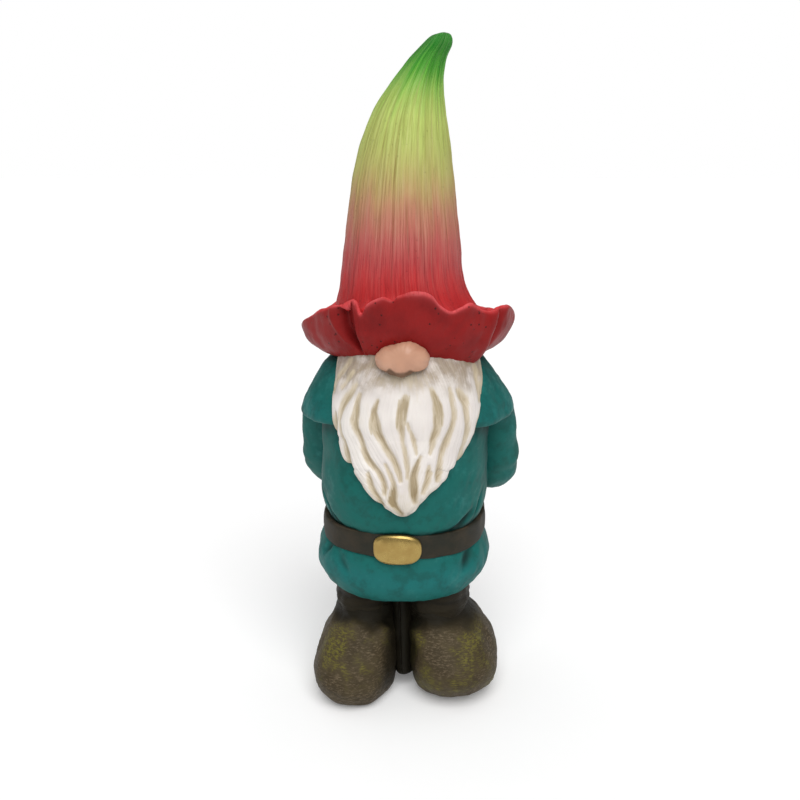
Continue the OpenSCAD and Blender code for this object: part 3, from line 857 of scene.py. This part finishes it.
# Level ovals up the coat, from inside its hem: height, half-width, front, back, middle's x and y.
COAT = [
    (54, 30, 31, 29, -1, 0), (51.4, 31.5, 33, 31, -1, 0), (50.6, 33.4, 35.8, 33.6, -1, 0),
    (52.2, 36, 38.4, 36.2, -1.1, 0), (55.4, 38.4, 40.6, 38.6, -1.1, 0), (59.4, 40.7, 42.2, 40, -1, 0),
    (64, 41.7, 42.8, 40.4, -0.9, 0), (69, 41, 42.5, 39.6, -1, 0), (73, 39.2, 41.5, 38, -0.9, 0),
    (76, 37.4, 40.4, 36.8, -0.7, 0), (82.5, 36.6, 40.6, 36.4, -0.4, 0), (86, 37.2, 43, 37.2, 0, 0),
    (91, 38.6, 44.7, 37.7, 0, 0), (98, 39.6, 45.4, 37.8, -0.4, 0), (106, 39.5, 45.3, 37.2, -0.3, 0),
    (116, 39.2, 43.8, 36.6, 0, 0), (128, 39.6, 40.4, 36.2, 0, 0), (140, 39.6, 35, 35.4, 0, 0),
    (148, 34, 28, 30, 0, 0), (150, 22, 20, 20, 0, 0),
]  # fmt: skip

# Dents and creases in the coat: degrees round, height, half-width in mm, half-height, depth, and
# how far it slants per mm of height.
COAT_DENTS = [
    (-53, 72, 2.4, 3.4, 2, 0.6), (-36, 68, 2.8, 4.6, 1.5, -0.6), (49, 70, 3.8, 5, 2.5, 0.5),
    (-57, 92, 1.7, 5.4, 3, -0.9), (-46, 89, 1.8, 3.6, 2.2, -1), (45, 89, 3, 3.4, 2.6, 1.3),
    (70, 66, 3, 6, 0.7, 0), (-78, 64, 3.2, 6, 0.7, 0), (18, 62, 5, 6, 0.35, 0), (-12, 60, 5, 6, 0.35, 0),
    (62, 93, 1.7, 4.6, 1.7, 0.8), (108, 68, 3, 5, 1.1, 0.5), (132, 66, 4, 6, 0.9, -0.4),
    (164, 68, 3.4, 5, 1, 0.2), (-112, 67, 3.4, 5, 1.1, -0.3), (-140, 68, 3.4, 5, 1.1, 0.4),
    (-168, 64, 4, 6, 0.8, 0), (122, 89, 2.4, 3, 1, 0.8), (-125, 89, 2.4, 3, 1, -0.8),
    (178, 89, 2.6, 3, 0.8, 0),
]  # fmt: skip


# The coat's radius, for turning degrees into millimetres, and the height of the belt's middle.
COAT_RADIUS = 41
BELT_LINE = 85


def coat_relief(row, degrees, points):
    """Dents and creases, and the waist drawn in under the belt."""
    x, y, z = points.T
    turn = np.degrees(np.arctan2(x, -y))
    dent = np.zeros(len(z))
    for middle, height, wide, tall, depth, slant in COAT_DENTS:
        gap = apart(turn, middle) * np.pi / 180 * COAT_RADIUS - slant * (z - height)
        dent += depth * bump(gap, 0, wide) * bump(z, height, tall)
    tight = bump(z, BELT_LINE, 1.9) * (0.35 + 0.5 * (1 - np.abs(turn) / 180))
    outer = step(1.5, 3, row)
    out = outer * (0.3 * lumps(points, 15, 31) + 0.09 * lumps(points, 5, 32) - dent - 0.55 * tight)
    # Painted shade: darker in the dents, under the belt, above it at the sides, under the cape and in the
    # valley beside each arm.
    shade = 0.33 * dent + 0.8 * tight + 0.25 * bump(z, BELT_LINE + 2, 7) * step(15, 60, np.abs(turn))
    shade += 0.6 * step(120, 134, z) + 0.5 * bump(np.abs(turn), 80, 14) * step(90, 104, z)
    masks = {"groove": np.clip(outer * shade, 0, 1), "worn": bump(z, 62, 8)}
    return out, masks


def coat_paint(look):
    """Teal, dry-brushed lighter, with painted shade nearly black in its creases, under the cape and beside
    the arms.
    """
    paint = Paint("coat_paint")
    place = paint.place()
    blotch = paint.noise(place, 110, detail=7, rough=0.7)
    broad = paint.noise(place, 40, detail=3)
    fine = paint.noise(place, 420, detail=3, rough=0.6)
    groove, worn = paint.kept("groove"), paint.kept("worn")
    colour = paint.mix(broad.between(0.35, 0.65) * 0.6, tuple(look.coat_teal), srgb(12, 86, 83))
    colour = paint.mix(worn * 0.75, colour, srgb(20, 104, 103))
    dry = (blotch * 0.5 + broad * 0.3 + fine * 0.2).between(0.5, 0.62)
    colour = paint.mix(dry * 0.42, colour, srgb(44, 122, 117))
    colour = paint.mix(blotch.between(0.5, 0.36) * 0.5, colour, srgb(14, 70, 64))
    # Painted shade, nearly black, on the coat, the cape and the sleeves.
    dark = (groove + (blotch - 0.5) * 0.3).between(0.1, 0.9)
    colour = paint.mix(dark * 0.85, colour, srgb(8, 26, 23))
    normal = paint.bump(blotch * 0.7 + fine * 0.3, 0.0004, 0.5)
    return paint.finish(colour, 0.62 - dry * 0.08, normal, shine=0.2)


# Level ovals up the cape, from inside its lower edge.
CAPE = [
    (139, 44, 36.5, 40, 0.3, 1), (135.2, 46.6, 38, 42.6, 0.3, 1), (133.2, 48.4, 39, 44.4, 0.3, 1),
    (132.5, 49.1, 39.8, 45.2, 0.5, 1), (133.4, 50.1, 40.7, 45.8, 0.5, 1),
    (135.6, 50.2, 40.9, 45.6, 0.5, 1), (141, 48.2, 39.7, 43.6, 0.2, 1),
    (147.5, 44.3, 37.8, 40.8, 0, 1), (153.5, 40.8, 35, 37.4, 0, 1),
    (158.4, 36.6, 32, 33.8, 0, 1), (160.6, 31, 28, 29.6, 0, 1),
]  # fmt: skip


def cape_relief(row, degrees, points):
    """Soft folds that fade towards the shoulders."""
    z, turn = points[:, 2], np.radians(degrees)
    low = 1 - step(5.5, 8.5, row)
    folds = np.cos(turn * 7 + 0.8) + 0.6 * np.cos(turn * 11 + 2)
    outer = step(2, 3.4, row)
    out = outer * (0.4 * low * folds + 0.3 * lumps(points, 14, 41) + 0.08 * lumps(points, 5, 42))
    # Painted shade: the inside of the lower edge is darkened.
    return out, {"groove": (1 - step(2.2, 3.6, row)) * 0.9, "worn": bump(z, 137, 6) * 0.5}


# --- Arms and hands ---------------------------------------------------------------------------

# The arm from inside the shoulder, round the elbow, to the cuff: x, y, z and radius.
ARM = [
    (35.5, 7, 143, 6), (39, 8.5, 136, 10.3), (40.9, 11, 127, 11.3), (41.6, 14, 117, 11.6),
    (42, 17.6, 107.5, 11.9), (41.2, 23.5, 100, 12), (37.6, 30, 96.4, 11.2), (31.5, 35, 94.4, 10.3),
    (25.5, 37.6, 93, 10.2), (22.6, 38.6, 92.4, 10.4), (21.4, 38.9, 92.1, 9.6), (22.6, 38.6, 92.4, 7.6),
]  # fmt: skip


# Down the palm, a finger from its own height, and the thumb: x, y, z and radius.
PALM = [
    (23, 38.6, 92.4, 6.2), (18, 40.8, 91.4, 6.3), (13, 42, 90.4, 6.6), (8, 42.6, 89.8, 6),
    (5, 42.8, 89.6, 3.5),
]  # fmt: skip
FINGER = [(9, 43.6, 0, 2.3), (5.5, 45.4, 0, 2.2), (2.2, 46, -0.2, 2), (0.6, 45.2, -0.4, 1.2)]
THUMB = [(14, 43, 96, 2.5), (10.5, 45, 97.6, 2.4), (7, 46, 97.4, 2.2), (5.4, 45.6, 97, 1.4)]

# Heights of the four fingers, and the grain at which a hand's parts are fused.
FINGER_HEIGHTS = [95 - 3.6 * k for k in range(4)]
HAND_GRAIN = 0.5


def limb(name, rows, side, sides, levels=3, relief=None):
    """A tube through rows of x, y, z and radius on the figure's left. A side of -1 mirrors it."""
    path = [(side * x, y, z) for x, y, z, _ in rows]
    radii = [radius for *_, radius in rows]
    return sculpt(raise_body(name, tube_rings(path, radii), sides, levels), tube(path, radii), relief)


def arm_relief(side):
    """Creases inside the elbow and along the forearm."""

    def relief(row, degrees, points):
        x, y, z = points.T
        x = x * side
        inner = step(38, 31, x) * step(18, 6, y)
        elbow = bump(z, 103, 5) * step(30, 16, y) * step(42, 50, x)
        creases = np.cos((z - 0.5 * y) / 1.5) * elbow
        bend = np.cos((z + 0.9 * y) / 2.1) * bump(z, 112, 10) * step(46, 38, x)
        out = 0.25 * creases + 0.2 * bend + 0.3 * lumps(points, 12, 51 + side)
        out += 0.07 * lumps(points, 4, 53)
        out[row > 10] *= 0.3
        # Painted shade on the inner side against the coat, in the bends and under the cape.
        groove = np.clip(0.7 * inner + 0.35 * np.maximum(-bend, 0) + 0.6 * step(120, 137, z), 0, 1)
        return out, {"groove": groove, "worn": bump(row, 9, 0.8) * 0.8}

    return relief


# --- Belt and buckle --------------------------------------------------------------------------

# The torus that the belt starts from, how far inside its solid it lies, and its thickness.
TORUS_RADIUS, TORUS_CORD = 20, 5
BELT_INSET = 0.4
BELT_THICKNESS = 1.5

# The buckle from its back to the middle of its face: share of its outline, depth.
BUCKLE = [
    (0.86, 0), (0.93, 1.2), (0.985, 2.2), (1, 3), (0.985, 3.65), (0.94, 4.1), (0.89, 4.3),
    (0.82, 4.45), (0.6, 4.8), (0.3, 5.08), (0.03, 5.15),
]  # fmt: skip
BUCKLE_DEPTH = BUCKLE[-1][1]


def belt_paint(look):
    """Dark brown, worn paler along both edges."""
    paint = Paint("belt_paint")
    place = paint.place()
    blotch = paint.noise(place, 95, detail=6, rough=0.65)
    fine = paint.noise(paint.stretch(place, (1, 1, 5)), 240, detail=3)
    edge = paint.kept("worn")
    colour = paint.mix(blotch.between(0.35, 0.7), tuple(look.belt_brown), srgb(54, 48, 38))
    colour = paint.mix(edge * blotch.between(0.4, 0.6) * 0.55, colour, srgb(78, 67, 53))
    colour = paint.mix(fine.between(0.6, 0.8) * 0.3, colour, srgb(24, 21, 18))
    normal = paint.bump(blotch * 0.5 + fine * 0.5, 0.0004, 0.45)
    return paint.finish(colour, 0.6 + (blotch - 0.5) * 0.2, normal, shine=0.14)


def gold_paint(look):
    """Old gold, dark along its edge."""
    paint = Paint("gold_paint")
    place = paint.place()
    blotch = paint.noise(place, 120, detail=5, rough=0.6)
    fine = paint.noise(place, 900, detail=2)
    edge = paint.kept("groove")
    colour = paint.mix(blotch.between(0.4, 0.7) * 0.6, tuple(look.buckle_gold), srgb(152, 122, 66))
    colour = paint.mix((edge + (blotch - 0.5) * 0.4).between(0.3, 0.9) * 0.75, colour, srgb(66, 50, 24))
    normal = paint.bump(blotch * 0.9 + fine * 0.1, 0.0004, 0.35)
    return paint.finish(colour, 0.27 + (blotch - 0.5) * 0.2 + edge * 0.3, normal, Metallic=0.8)


# --- Trousers and boots -----------------------------------------------------------------------

# Level ovals up each boot, the front given as a share of the toe's reach: height, half-width,
# front, back's y, middle's x and y.
LEFT_BOOT = [
    (0, 13.6, 0.6, 16.4, 23, -8), (0.5, 15, 0.65, 17.6, 23.3, -8), (2, 17, 0.73, 19, 23.8, -10),
    (6, 19.4, 0.87, 20.5, 24.6, -13), (12, 20.8, 0.985, 21.5, 25, -15), (19, 20.7, 0.985, 21, 24.8, -15),
    (25, 19.6, 0.91, 20, 23, -13), (31, 17.4, 0.79, 18.5, 20, -10), (35.5, 15, 0.7, 17, 17.4, -6),
    (39.5, 13.9, 0.665, 16.2, 15.6, -4), (42.5, 13.2, 0.61, 15.4, 15.4, -4),
]  # fmt: skip
RIGHT_BOOT = [
    (0, 13.8, 0.76, 16.4, 21, -12), (0.5, 15.2, 0.81, 17.6, 21.2, -13), (2, 17, 0.88, 19, 21.4, -14),
    (6, 19.2, 0.96, 20.5, 21.8, -16), (12, 20, 1, 21.5, 22, -17), (19, 19.4, 0.97, 21, 21.5, -16),
    (25, 18.3, 0.885, 20, 20.5, -14), (31, 16.8, 0.75, 18.5, 18.8, -10), (35.5, 15.8, 0.645, 17, 17.8, -6),
    (39.5, 15.6, 0.595, 16.2, 17.5, -4), (42.5, 14.8, 0.55, 15.4, 17.4, -4),
]  # fmt: skip

# Level ovals up a leg, its middle's x counted from the middle of both.
LEG = [
    (37, 14.2, 24, 15.5, 17, -3), (41, 15.2, 24.9, 17.4, 17, -3), (42.6, 15.7, 25.2, 18.4, 17, -3),
    (44.4, 15.5, 25, 19, 16.9, -3), (49, 15.3, 25, 20, 16.5, -3), (58, 15.4, 25, 20, 16, -3),
]  # fmt: skip


# Level ovals up the web between the boots. A thin ridge runs up its front.
WEB = [
    (5.4, 3, 13, 12, 1.2, -2), (5.8, 4.8, 18, 13, 1.2, -2), (7.6, 6.4, 21.5, 14, 1.1, -2),
    (13, 7, 22, 14, 0.9, -2), (24, 7, 22, 14, 0.6, -2), (40, 6.6, 21, 14, 0, -2),
    (54, 6, 20, 16, -0.6, -2),
]  # fmt: skip


def boot_rows(rows, side, toe):
    """A boot's table as level ovals, for a side and the reach of its toe."""
    return [(z, w, toe * share + y, back - y, side * x, y) for z, w, share, back, x, y in rows]


def boot_relief(side):
    """A crease over the instep, a toe cap, and scuffs."""

    def relief(row, degrees, points):
        x, y, z = points.T
        height = z + 0.1 * (y + 24) - 2.4 * bump(np.abs(x), 22, 9) + 0.7 * lumps(points, 9, 68)
        instep = bump(height, 36.5, 2.6) * step(-14, -24, y)
        cap = bump(height, 30.5, 3.6) * step(-20, -34, y)
        scuffs = lumps(points * [1, 1, 2.4], 4.2, 61 + side)
        upper = step(0.6, 2.5, z)
        out = upper * (0.35 * lumps(points, 13, 63 + side) + 0.07 * scuffs - 1.6 * instep + 0.8 * cap)
        # Nearly black above the instep, partly dark paint and partly painted shade in its hollow; painted
        # shade between the boots and along the bottom.
        inner = step(9.5, 5, np.abs(x - 0.8)) * step(0, 9, z)
        dark = 0.95 * step(30, 37, height) + 0.85 * inner + 0.3 * step(3, 0, z)
        return out, {"groove": np.clip(dark, 0, 1), "worn": step(36, 29, height)}

    return relief


def leg_relief(row, degrees, points):
    """Wrinkles round the shafts, dark between them: the trousers' own dark paint, with painted shade in
    the wrinkles' troughs and between the legs.
    """
    x, z = points[:, 0], points[:, 2]
    wrinkle = np.cos((z - 45 + 0.16 * np.abs(x - 12)) * 1.1) * bump(z, 46, 3) * step(5, 9, np.abs(x))
    out = 0.18 * wrinkle + 0.25 * lumps(points, 9, 71)
    groove = np.clip(0.8 + 0.2 * np.maximum(-wrinkle, 0) + step(9, 5, np.abs(x)), 0, 1)
    return out, {"groove": groove, "worn": np.zeros(len(z))}


def boot_paint(look):
    """Olive brown, rubbed with moss green and grey; nearly black above the instep, partly dark paint and
    partly painted shade, with painted shade between the boots and along the bottom.
    """
    paint = Paint("boot_paint")
    place = paint.place()
    blotch = paint.noise(place, 55, detail=5, rough=0.6)
    patch = paint.noise(place, 52, detail=3, rough=0.6)
    scratch = paint.noise(paint.stretch(place, (1, 1, 3.8)), 480, detail=5, rough=0.75)
    fine = paint.noise(place, 520, detail=3)
    groove, worn = paint.kept("groove"), paint.kept("worn")
    colour = paint.mix(blotch.between(0.4, 0.65), tuple(look.boot_brown), srgb(78, 68, 48))
    moss = patch.between(0.49, 0.62) * scratch.between(0.45, 0.58)
    colour = paint.mix(moss * worn * 0.75, colour, tuple(look.boot_moss))
    rubbed = (1 - patch).between(0.44, 0.56) * scratch.between(0.5, 0.6)
    colour = paint.mix(rubbed * worn * 0.45, colour, srgb(126, 110, 88))
    # Nearly black: the trousers' own dark paint, and painted shade in the instep, the wrinkles, between
    # the legs and boots, and along the bottom.
    colour = paint.mix((groove + (blotch - 0.5) * 0.4) * 0.9, colour, srgb(18, 17, 11))
    normal = paint.bump(scratch, 0.0005, 0.5)
    normal = paint.bump(fine, 0.0002, 0.3, normal)
    roughness = 0.58 - scratch.between(0.5, 0.7) * 0.12
    return paint.finish(colour, roughness, normal, shine=0.12)


# --- Plain paints of the pieces that stay as they are -----------------------------------------


def plain_paint(name, first, second, scale, roughness, **constants):
    """Two near colours mixed by a fine grain."""
    paint = Paint(name)
    grain = paint.noise(paint.place(), scale, detail=5, rough=0.6)
    colour = paint.mix(grain.between(0.3, 0.7), first, second)
    normal = paint.bump(grain, 0.0003, 0.3)
    return paint.finish(colour, roughness + (grain - 0.5) * 0.2, normal, **constants)


# --- The stage --------------------------------------------------------------------------------

# The lights: where each shines from, its strength, and how wide it is in the sky, in degrees.
LIGHTS = {
    "key": ((0.25, -1, 1.25), 2.4, 50),
    "top": ((-0.3, 0.5, 1.6), 0.7, 90),
}

# The camera: how far off and how high it stands, its turn to the figure's left, how high
# it aims, its lens and sensor, and how far its picture is shifted.
EYE_DISTANCE, EYE_HEIGHT, EYE_TURN = 450, 245, math.radians(6)
AIM_HEIGHT = 152
LENS, SENSOR = 43.55, 36
SHIFT_X, SHIFT_Y = -0.0075, -0.0377

# --- Operators --------------------------------------------------------------------------------


def finish_piece(piece, material, node):
    """Paints a piece and lets it stand for a node of the frame."""
    piece.data.materials.clear()
    piece.data.materials.append(material)
    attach(piece, "root")
    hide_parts(node)


def join(pieces):
    """Joins pieces into the first."""
    deselect()
    for piece in pieces:
        piece.select_set(True)
    bpy.context.view_layer.objects.active = pieces[0]
    bpy.ops.object.join()
    return pieces[0]


def colour_property(name, description, colour):
    return bpy.props.FloatVectorProperty(
        name=name, description=description, default=colour, subtype="COLOR", size=3, min=0, max=1
    )


class GnomeLook(bpy.types.PropertyGroup):
    """The colours and sizes that a user would change."""

    hat_red: colour_property("Hat red", "Red of the hat above its brim", srgb(206, 50, 52))
    hat_green: colour_property("Hat green", "Green near the hat's tip", srgb(34, 126, 30))
    coat_teal: colour_property("Coat", "Main colour of the coat", srgb(12, 94, 87))
    beard_white: colour_property("Beard", "White of the beard's locks", srgb(228, 222, 216))
    beard_wash: colour_property("Beard wash", "Brown between the locks", srgb(150, 131, 96))
    skin: colour_property("Skin", "Colour of the nose and hands", srgb(199, 154, 128))
    belt_brown: colour_property("Belt", "Brown of the strap", srgb(40, 40, 33))
    buckle_gold: colour_property("Buckle", "Gold of the buckle", srgb(172, 147, 86))
    boot_brown: colour_property("Boots", "Brown of the boots", srgb(62, 53, 37))
    boot_moss: colour_property("Boot moss", "Mossy rubbing on the boots", srgb(114, 108, 44))
    room_light: bpy.props.FloatProperty(
        name="Room light", description="Strength of the soft light from all round", default=0.24, min=0
    )
    floor_size: bpy.props.FloatProperty(
        name="Floor", description="Width of the floor", default=60, min=2, unit="LENGTH"
    )


class GNOME_OT_hat(bpy.types.Operator):
    """Models and paints the hat"""

    bl_idname = "gnome.hat"
    bl_label = "Hat"

    def execute(self, context):
        reaches = [(BRIM_REACH * share, 160 + 24 * rise) for share, rise in BRIM]
        rings = [(0, 0, height, reach, reach) for reach, height in reaches]
        rings += [(x, 0, z, radius, radius) for z, radius, x in CONE]
        hat = sculpt(raise_body("hat_shell", rings, 56), hat_surface, hat_relief)
        finish_piece(hat, hat_paint(context.scene.gnome_look), "hat")
        return {"FINISHED"}


class GNOME_OT_face(bpy.types.Operator):
    """Models and paints the nose and the beard"""

    bl_idname = "gnome.face"
    bl_label = "Nose and beard"

    def execute(self, context):
        look = context.scene.gnome_look
        rings = [((low + high) / 2, 0, z, (high - low) / 2, 8) for z, low, high, _, _ in BEARD]
        beard = sculpt(raise_body("beard_locks", rings, 44), beard_surface, beard_relief)
        finish_piece(beard, beard_paint(look), "beard")
        rings = [(0, 0, 2 * k, 4 + k, 4 + k) for k in range(len(NOSE_TILTS))]
        nose = sculpt(raise_body("nose_lump", rings, 16), nose_surface, nose_relief)
        finish_piece(nose, skin_paint(look), "nose")
        return {"FINISHED"}


class GNOME_OT_coat(bpy.types.Operator):
    """Models and paints the coat, the cape and the sleeves"""

    bl_idname = "gnome.coat"
    bl_label = "Coat"

    def execute(self, context):
        paint = coat_paint(context.scene.gnome_look)
        coat = sculpt(raise_body("coat_body", oval_rings(COAT), 48), oval(COAT), coat_relief)
        finish_piece(coat, paint, "coat")
        cape = sculpt(raise_body("cape_shell", oval_rings(CAPE), 48), oval(CAPE), cape_relief)
        finish_piece(cape, paint, "shoulder_cape")
        for side, name in SIDES:
            arm = limb(name + "_sleeve", ARM, side, 24, relief=arm_relief(side))
            finish_piece(arm, paint, name + "_arm")
        return {"FINISHED"}


class GNOME_OT_hands(bpy.types.Operator):
    """Models and paints the hands behind the back"""

    bl_idname = "gnome.hands"
    bl_label = "Hands"

    def execute(self, context):
        paint = bpy.data.materials.get("skin_paint")
        for side, name in SIDES:
            fingers = [[(x, y, z + base, r) for x, y, z, r in FINGER] for base in FINGER_HEIGHTS]
            parts = [PALM, *fingers, THUMB]
            hand = join([limb(name + "_grip", rows, side, 10, levels=2) for rows in parts])
            add_modifier(hand, "REMESH", mode="VOXEL", voxel_size=HAND_GRAIN * UNIT)
            add_modifier(hand, "SMOOTH", factor=0.5, iterations=6)
            _, y, z = points_of(hand).T
            # Painted shade near the sleeve and under the lowest fingers.
            remember(hand, "groove", 0.6 * step(40.5, 38, y) + 0.3 * step(84, 81, z))
            shade_smooth(hand)
            finish_piece(hand, paint, name + "_hand")
        return {"FINISHED"}


class GNOME_OT_belt(bpy.types.Operator):
    """Models and paints the belt and its buckle"""

    bl_idname = "gnome.belt"
    bl_label = "Belt"

    def execute(self, context):
        look = context.scene.gnome_look
        low, high = box("belt")
        middle = (low + high) / 2
        size = (high - low) / 2
        deselect()
        bpy.ops.mesh.primitive_torus_add(
            major_segments=72,
            minor_segments=16,
            major_radius=TORUS_RADIUS * UNIT,
            minor_radius=TORUS_CORD * UNIT,
        )
        belt = bpy.context.active_object
        belt.name = belt.data.name = "belt_strap"
        add_modifier(belt, "SUBSURF", levels=2, render_levels=2)
        points = points_of(belt)
        angle = np.arctan2(points[:, 1], points[:, 0])
        lap = np.arctan2(points[:, 2], np.hypot(points[:, 0], points[:, 1]) - TORUS_RADIUS)
        thick = BELT_THICKNESS * squared(np.cos(lap), 0.5) - 1.4
        rise = size[2] * squared(np.sin(lap), 0.4) + 0.35 * np.sin(3 * angle + 1)
        width, front, back = size[0] - BELT_INSET, -low[1] - BELT_INSET, high[1] - BELT_INSET
        shift = -0.5
        ring = [(middle[2], width, front, back, shift, 0)] * 2
        on_ring = oval(ring)(np.zeros(len(angle)), angle)
        outward = on_ring - [shift, 0, middle[2]]
        outward /= np.linalg.norm(outward, axis=1)[:, None]
        points = on_ring + outward * thick[:, None] + np.column_stack([0 * rise, 0 * rise, rise])
        points += outward * 0.18 * lumps(points, 12, 81)[:, None]
        move_points(belt, points)
        remember(belt, "worn", step(0.75, 0.95, np.abs(np.sin(lap))))
        choose(belt)
        bpy.ops.object.mode_set(mode="EDIT")
        bpy.ops.mesh.select_all(action="SELECT")
        bpy.ops.mesh.normals_make_consistent(inside=False)
        bpy.ops.object.mode_set(mode="OBJECT")
        bpy.ops.object.shade_smooth()
        finish_piece(belt, belt_paint(look), "belt")
        self.buckle(look)
        return {"FINISHED"}

    def buckle(self, look):
        """A pillow that bends back with the waist, its face to the front."""
        low, high = box("buckle")
        middle = (low + high) / 2
        wide, tall = (high[0] - low[0]) / 2, (high[2] - low[2]) / 2

        def surface(row, angle):
            share, depth = curve(BUCKLE, row).T
            x = middle[0] + wide * share * squared(np.cos(angle), 0.7)
            z = middle[2] - 0.5 + tall * share * squared(np.sin(angle), 0.72)
            bend = 0.012 * (x - middle[0]) ** 2
            return np.column_stack([x, low[1] + BUCKLE_DEPTH - depth + bend, z])

        def relief(row, degrees, points):
            rim = bump(row, 5.2, 0.9)
            out = 0.1 * lumps(points, 9, 91) - 0.12 * rim
            return out, {"groove": np.clip(1 - step(2.2, 4, row) + 0.25 * rim, 0, 1)}

        rings = [(0, 0, k, 10 - 0.5 * k, 10 - 0.5 * k) for k in range(len(BUCKLE))]
        buckle = sculpt(raise_body("buckle_plate", rings, 24), surface, relief)
        finish_piece(buckle, gold_paint(look), "buckle")


class GNOME_OT_boots(bpy.types.Operator):
    """Models and paints the trousers and the boots"""

    bl_idname = "gnome.boots"
    bl_label = "Boots"

    def execute(self, context):
        paint = boot_paint(context.scene.gnome_look)
        for (side, name), table in zip(SIDES, (LEFT_BOOT, RIGHT_BOOT)):
            toe = -float(box(name + "_boot")[0][1])
            rows = boot_rows(table, side, toe)
            boot = raise_body(name + "_boot_upper", oval_rings(rows), 40)
            sculpt(boot, oval(rows), boot_relief(side))
            finish_piece(boot, paint, name + "_boot")
        parts = []
        for side, _ in SIDES:
            rows = [(z, w, front, back, side * x - 1, y) for z, w, front, back, x, y in LEG]
            leg = raise_body("trouser_legs", oval_rings(rows), 32)
            parts.append(sculpt(leg, oval(rows), leg_relief))
        ridge = [(z + 1.2, 0.75, front + 1.6, back, x - 0.6, y) for z, _, front, back, x, y in WEB]
        for rows in (WEB, ridge):
            seam = raise_body("trouser_web", oval_rings(rows), 24)
            parts.append(sculpt(seam, oval(rows), leg_relief))
        finish_piece(join(parts), paint, "trousers")
        return {"FINISHED"}


class GNOME_OT_hidden(bpy.types.Operator):
    """Paints the pieces that hold the figure together"""

    bl_idname = "gnome.hidden"
    bl_label = "Inner pieces"

    def execute(self, context):
        paints = {
            "head_core": plain_paint("resin_paint", srgb(176, 166, 148), srgb(150, 140, 122), 90, 0.75),
            "vent_plug": plain_paint("rubber_paint", srgb(38, 37, 36), srgb(26, 26, 26), 200, 0.8),
            "left_leg_dowel": plain_paint(
                "steel_paint", srgb(176, 176, 180), srgb(150, 150, 154), 300, 0.35, Metallic=1.0
            ),
        }
        paints["right_leg_dowel"] = paints["left_leg_dowel"]
        for node, material in paints.items():
            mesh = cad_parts[node].data
            mesh.materials.clear()
            mesh.materials.append(material)
        return {"FINISHED"}


class GNOME_OT_stage(bpy.types.Operator):
    """Sets up the floor, the light and the camera"""

    bl_idname = "gnome.stage"
    bl_label = "Stage"

    def execute(self, context):
        scene = context.scene
        deselect()
        bpy.ops.mesh.primitive_plane_add(size=scene.gnome_look.floor_size, location=(0, 0, 0))
        floor = bpy.context.active_object
        floor.name = "studio_floor"
        glow = {"Emission Color": (1, 1, 1, 1), "Emission Strength": 0.14}
        white = plain_paint("floor_paint", (0.9, 0.9, 0.9), (0.88, 0.88, 0.88), 3, 0.9, **glow)
        floor.data.materials.append(white)
        world = bpy.data.worlds.new("studio")
        world.use_nodes = True
        tree = world.node_tree
        shown, dim = tree.nodes["Background"], tree.nodes.new("ShaderNodeBackground")
        mix, path = tree.nodes.new("ShaderNodeMixShader"), tree.nodes.new("ShaderNodeLightPath")
        shown.inputs["Color"].default_value = (1, 1, 1, 1)
        dim.inputs["Color"].default_value = (1, 1, 1, 1)
        dim.inputs["Strength"].default_value = scene.gnome_look.room_light
        tree.links.new(path.outputs["Is Camera Ray"], mix.inputs["Fac"])
        tree.links.new(dim.outputs[0], mix.inputs[1])
        tree.links.new(shown.outputs[0], mix.inputs[2])
        tree.links.new(mix.outputs[0], tree.nodes["World Output"].inputs["Surface"])
        scene.world = world
        for name, (way, power, spread) in LIGHTS.items():
            bpy.ops.object.light_add(type="SUN", location=Vector(way))
            light = bpy.context.active_object
            light.name = light.data.name = name
            light.data.energy = power
            light.data.angle = math.radians(spread)
            light.rotation_euler = (-Vector(way)).to_track_quat("-Z", "Y").to_euler()
        x, y = EYE_DISTANCE * math.sin(EYE_TURN), -EYE_DISTANCE * math.cos(EYE_TURN)
        eye, aim = Vector((x, y, EYE_HEIGHT)) * UNIT, Vector((0, 0, AIM_HEIGHT * UNIT))
        bpy.ops.object.camera_add(location=eye)
        camera = bpy.context.active_object
        camera.rotation_euler = (aim - eye).to_track_quat("-Z", "Y").to_euler()
        camera.data.lens = LENS
        camera.data.sensor_width = SENSOR
        camera.data.shift_x = SHIFT_X
        camera.data.shift_y = SHIFT_Y
        camera.data.clip_start = 0.01
        scene.camera = camera
        scene.view_settings.view_transform = "Standard"
        return {"FINISHED"}


class GNOME_PT_panel(bpy.types.Panel):
    """Lists the gnome's steps and its colours"""

    bl_idname = "GNOME_PT_panel"
    bl_label = "Garden Gnome"
    bl_space_type = "VIEW_3D"
    bl_region_type = "UI"
    bl_category = "Gnome"

    def draw(self, context):
        for step_class in STEPS:
            self.layout.operator(step_class.bl_idname)
        for name in GnomeLook.__annotations__:
            self.layout.prop(context.scene.gnome_look, name)


STEPS = (
    GNOME_OT_stage, GNOME_OT_hat, GNOME_OT_face, GNOME_OT_coat, GNOME_OT_hands, GNOME_OT_belt,
    GNOME_OT_boots, GNOME_OT_hidden,
)  # fmt: skip
CLASSES = (GnomeLook, *STEPS, GNOME_PT_panel)


def register():
    for item in CLASSES:
        bpy.utils.register_class(item)
    bpy.types.Scene.gnome_look = bpy.props.PointerProperty(type=GnomeLook)


def unregister():
    del bpy.types.Scene.gnome_look
    for item in reversed(CLASSES):
        bpy.utils.unregister_class(item)


def main():
    register()
    for item in STEPS:
        group, name = item.bl_idname.split(".")
        getattr(getattr(bpy.ops, group), name)()


if __name__ == "__main__":
    main()
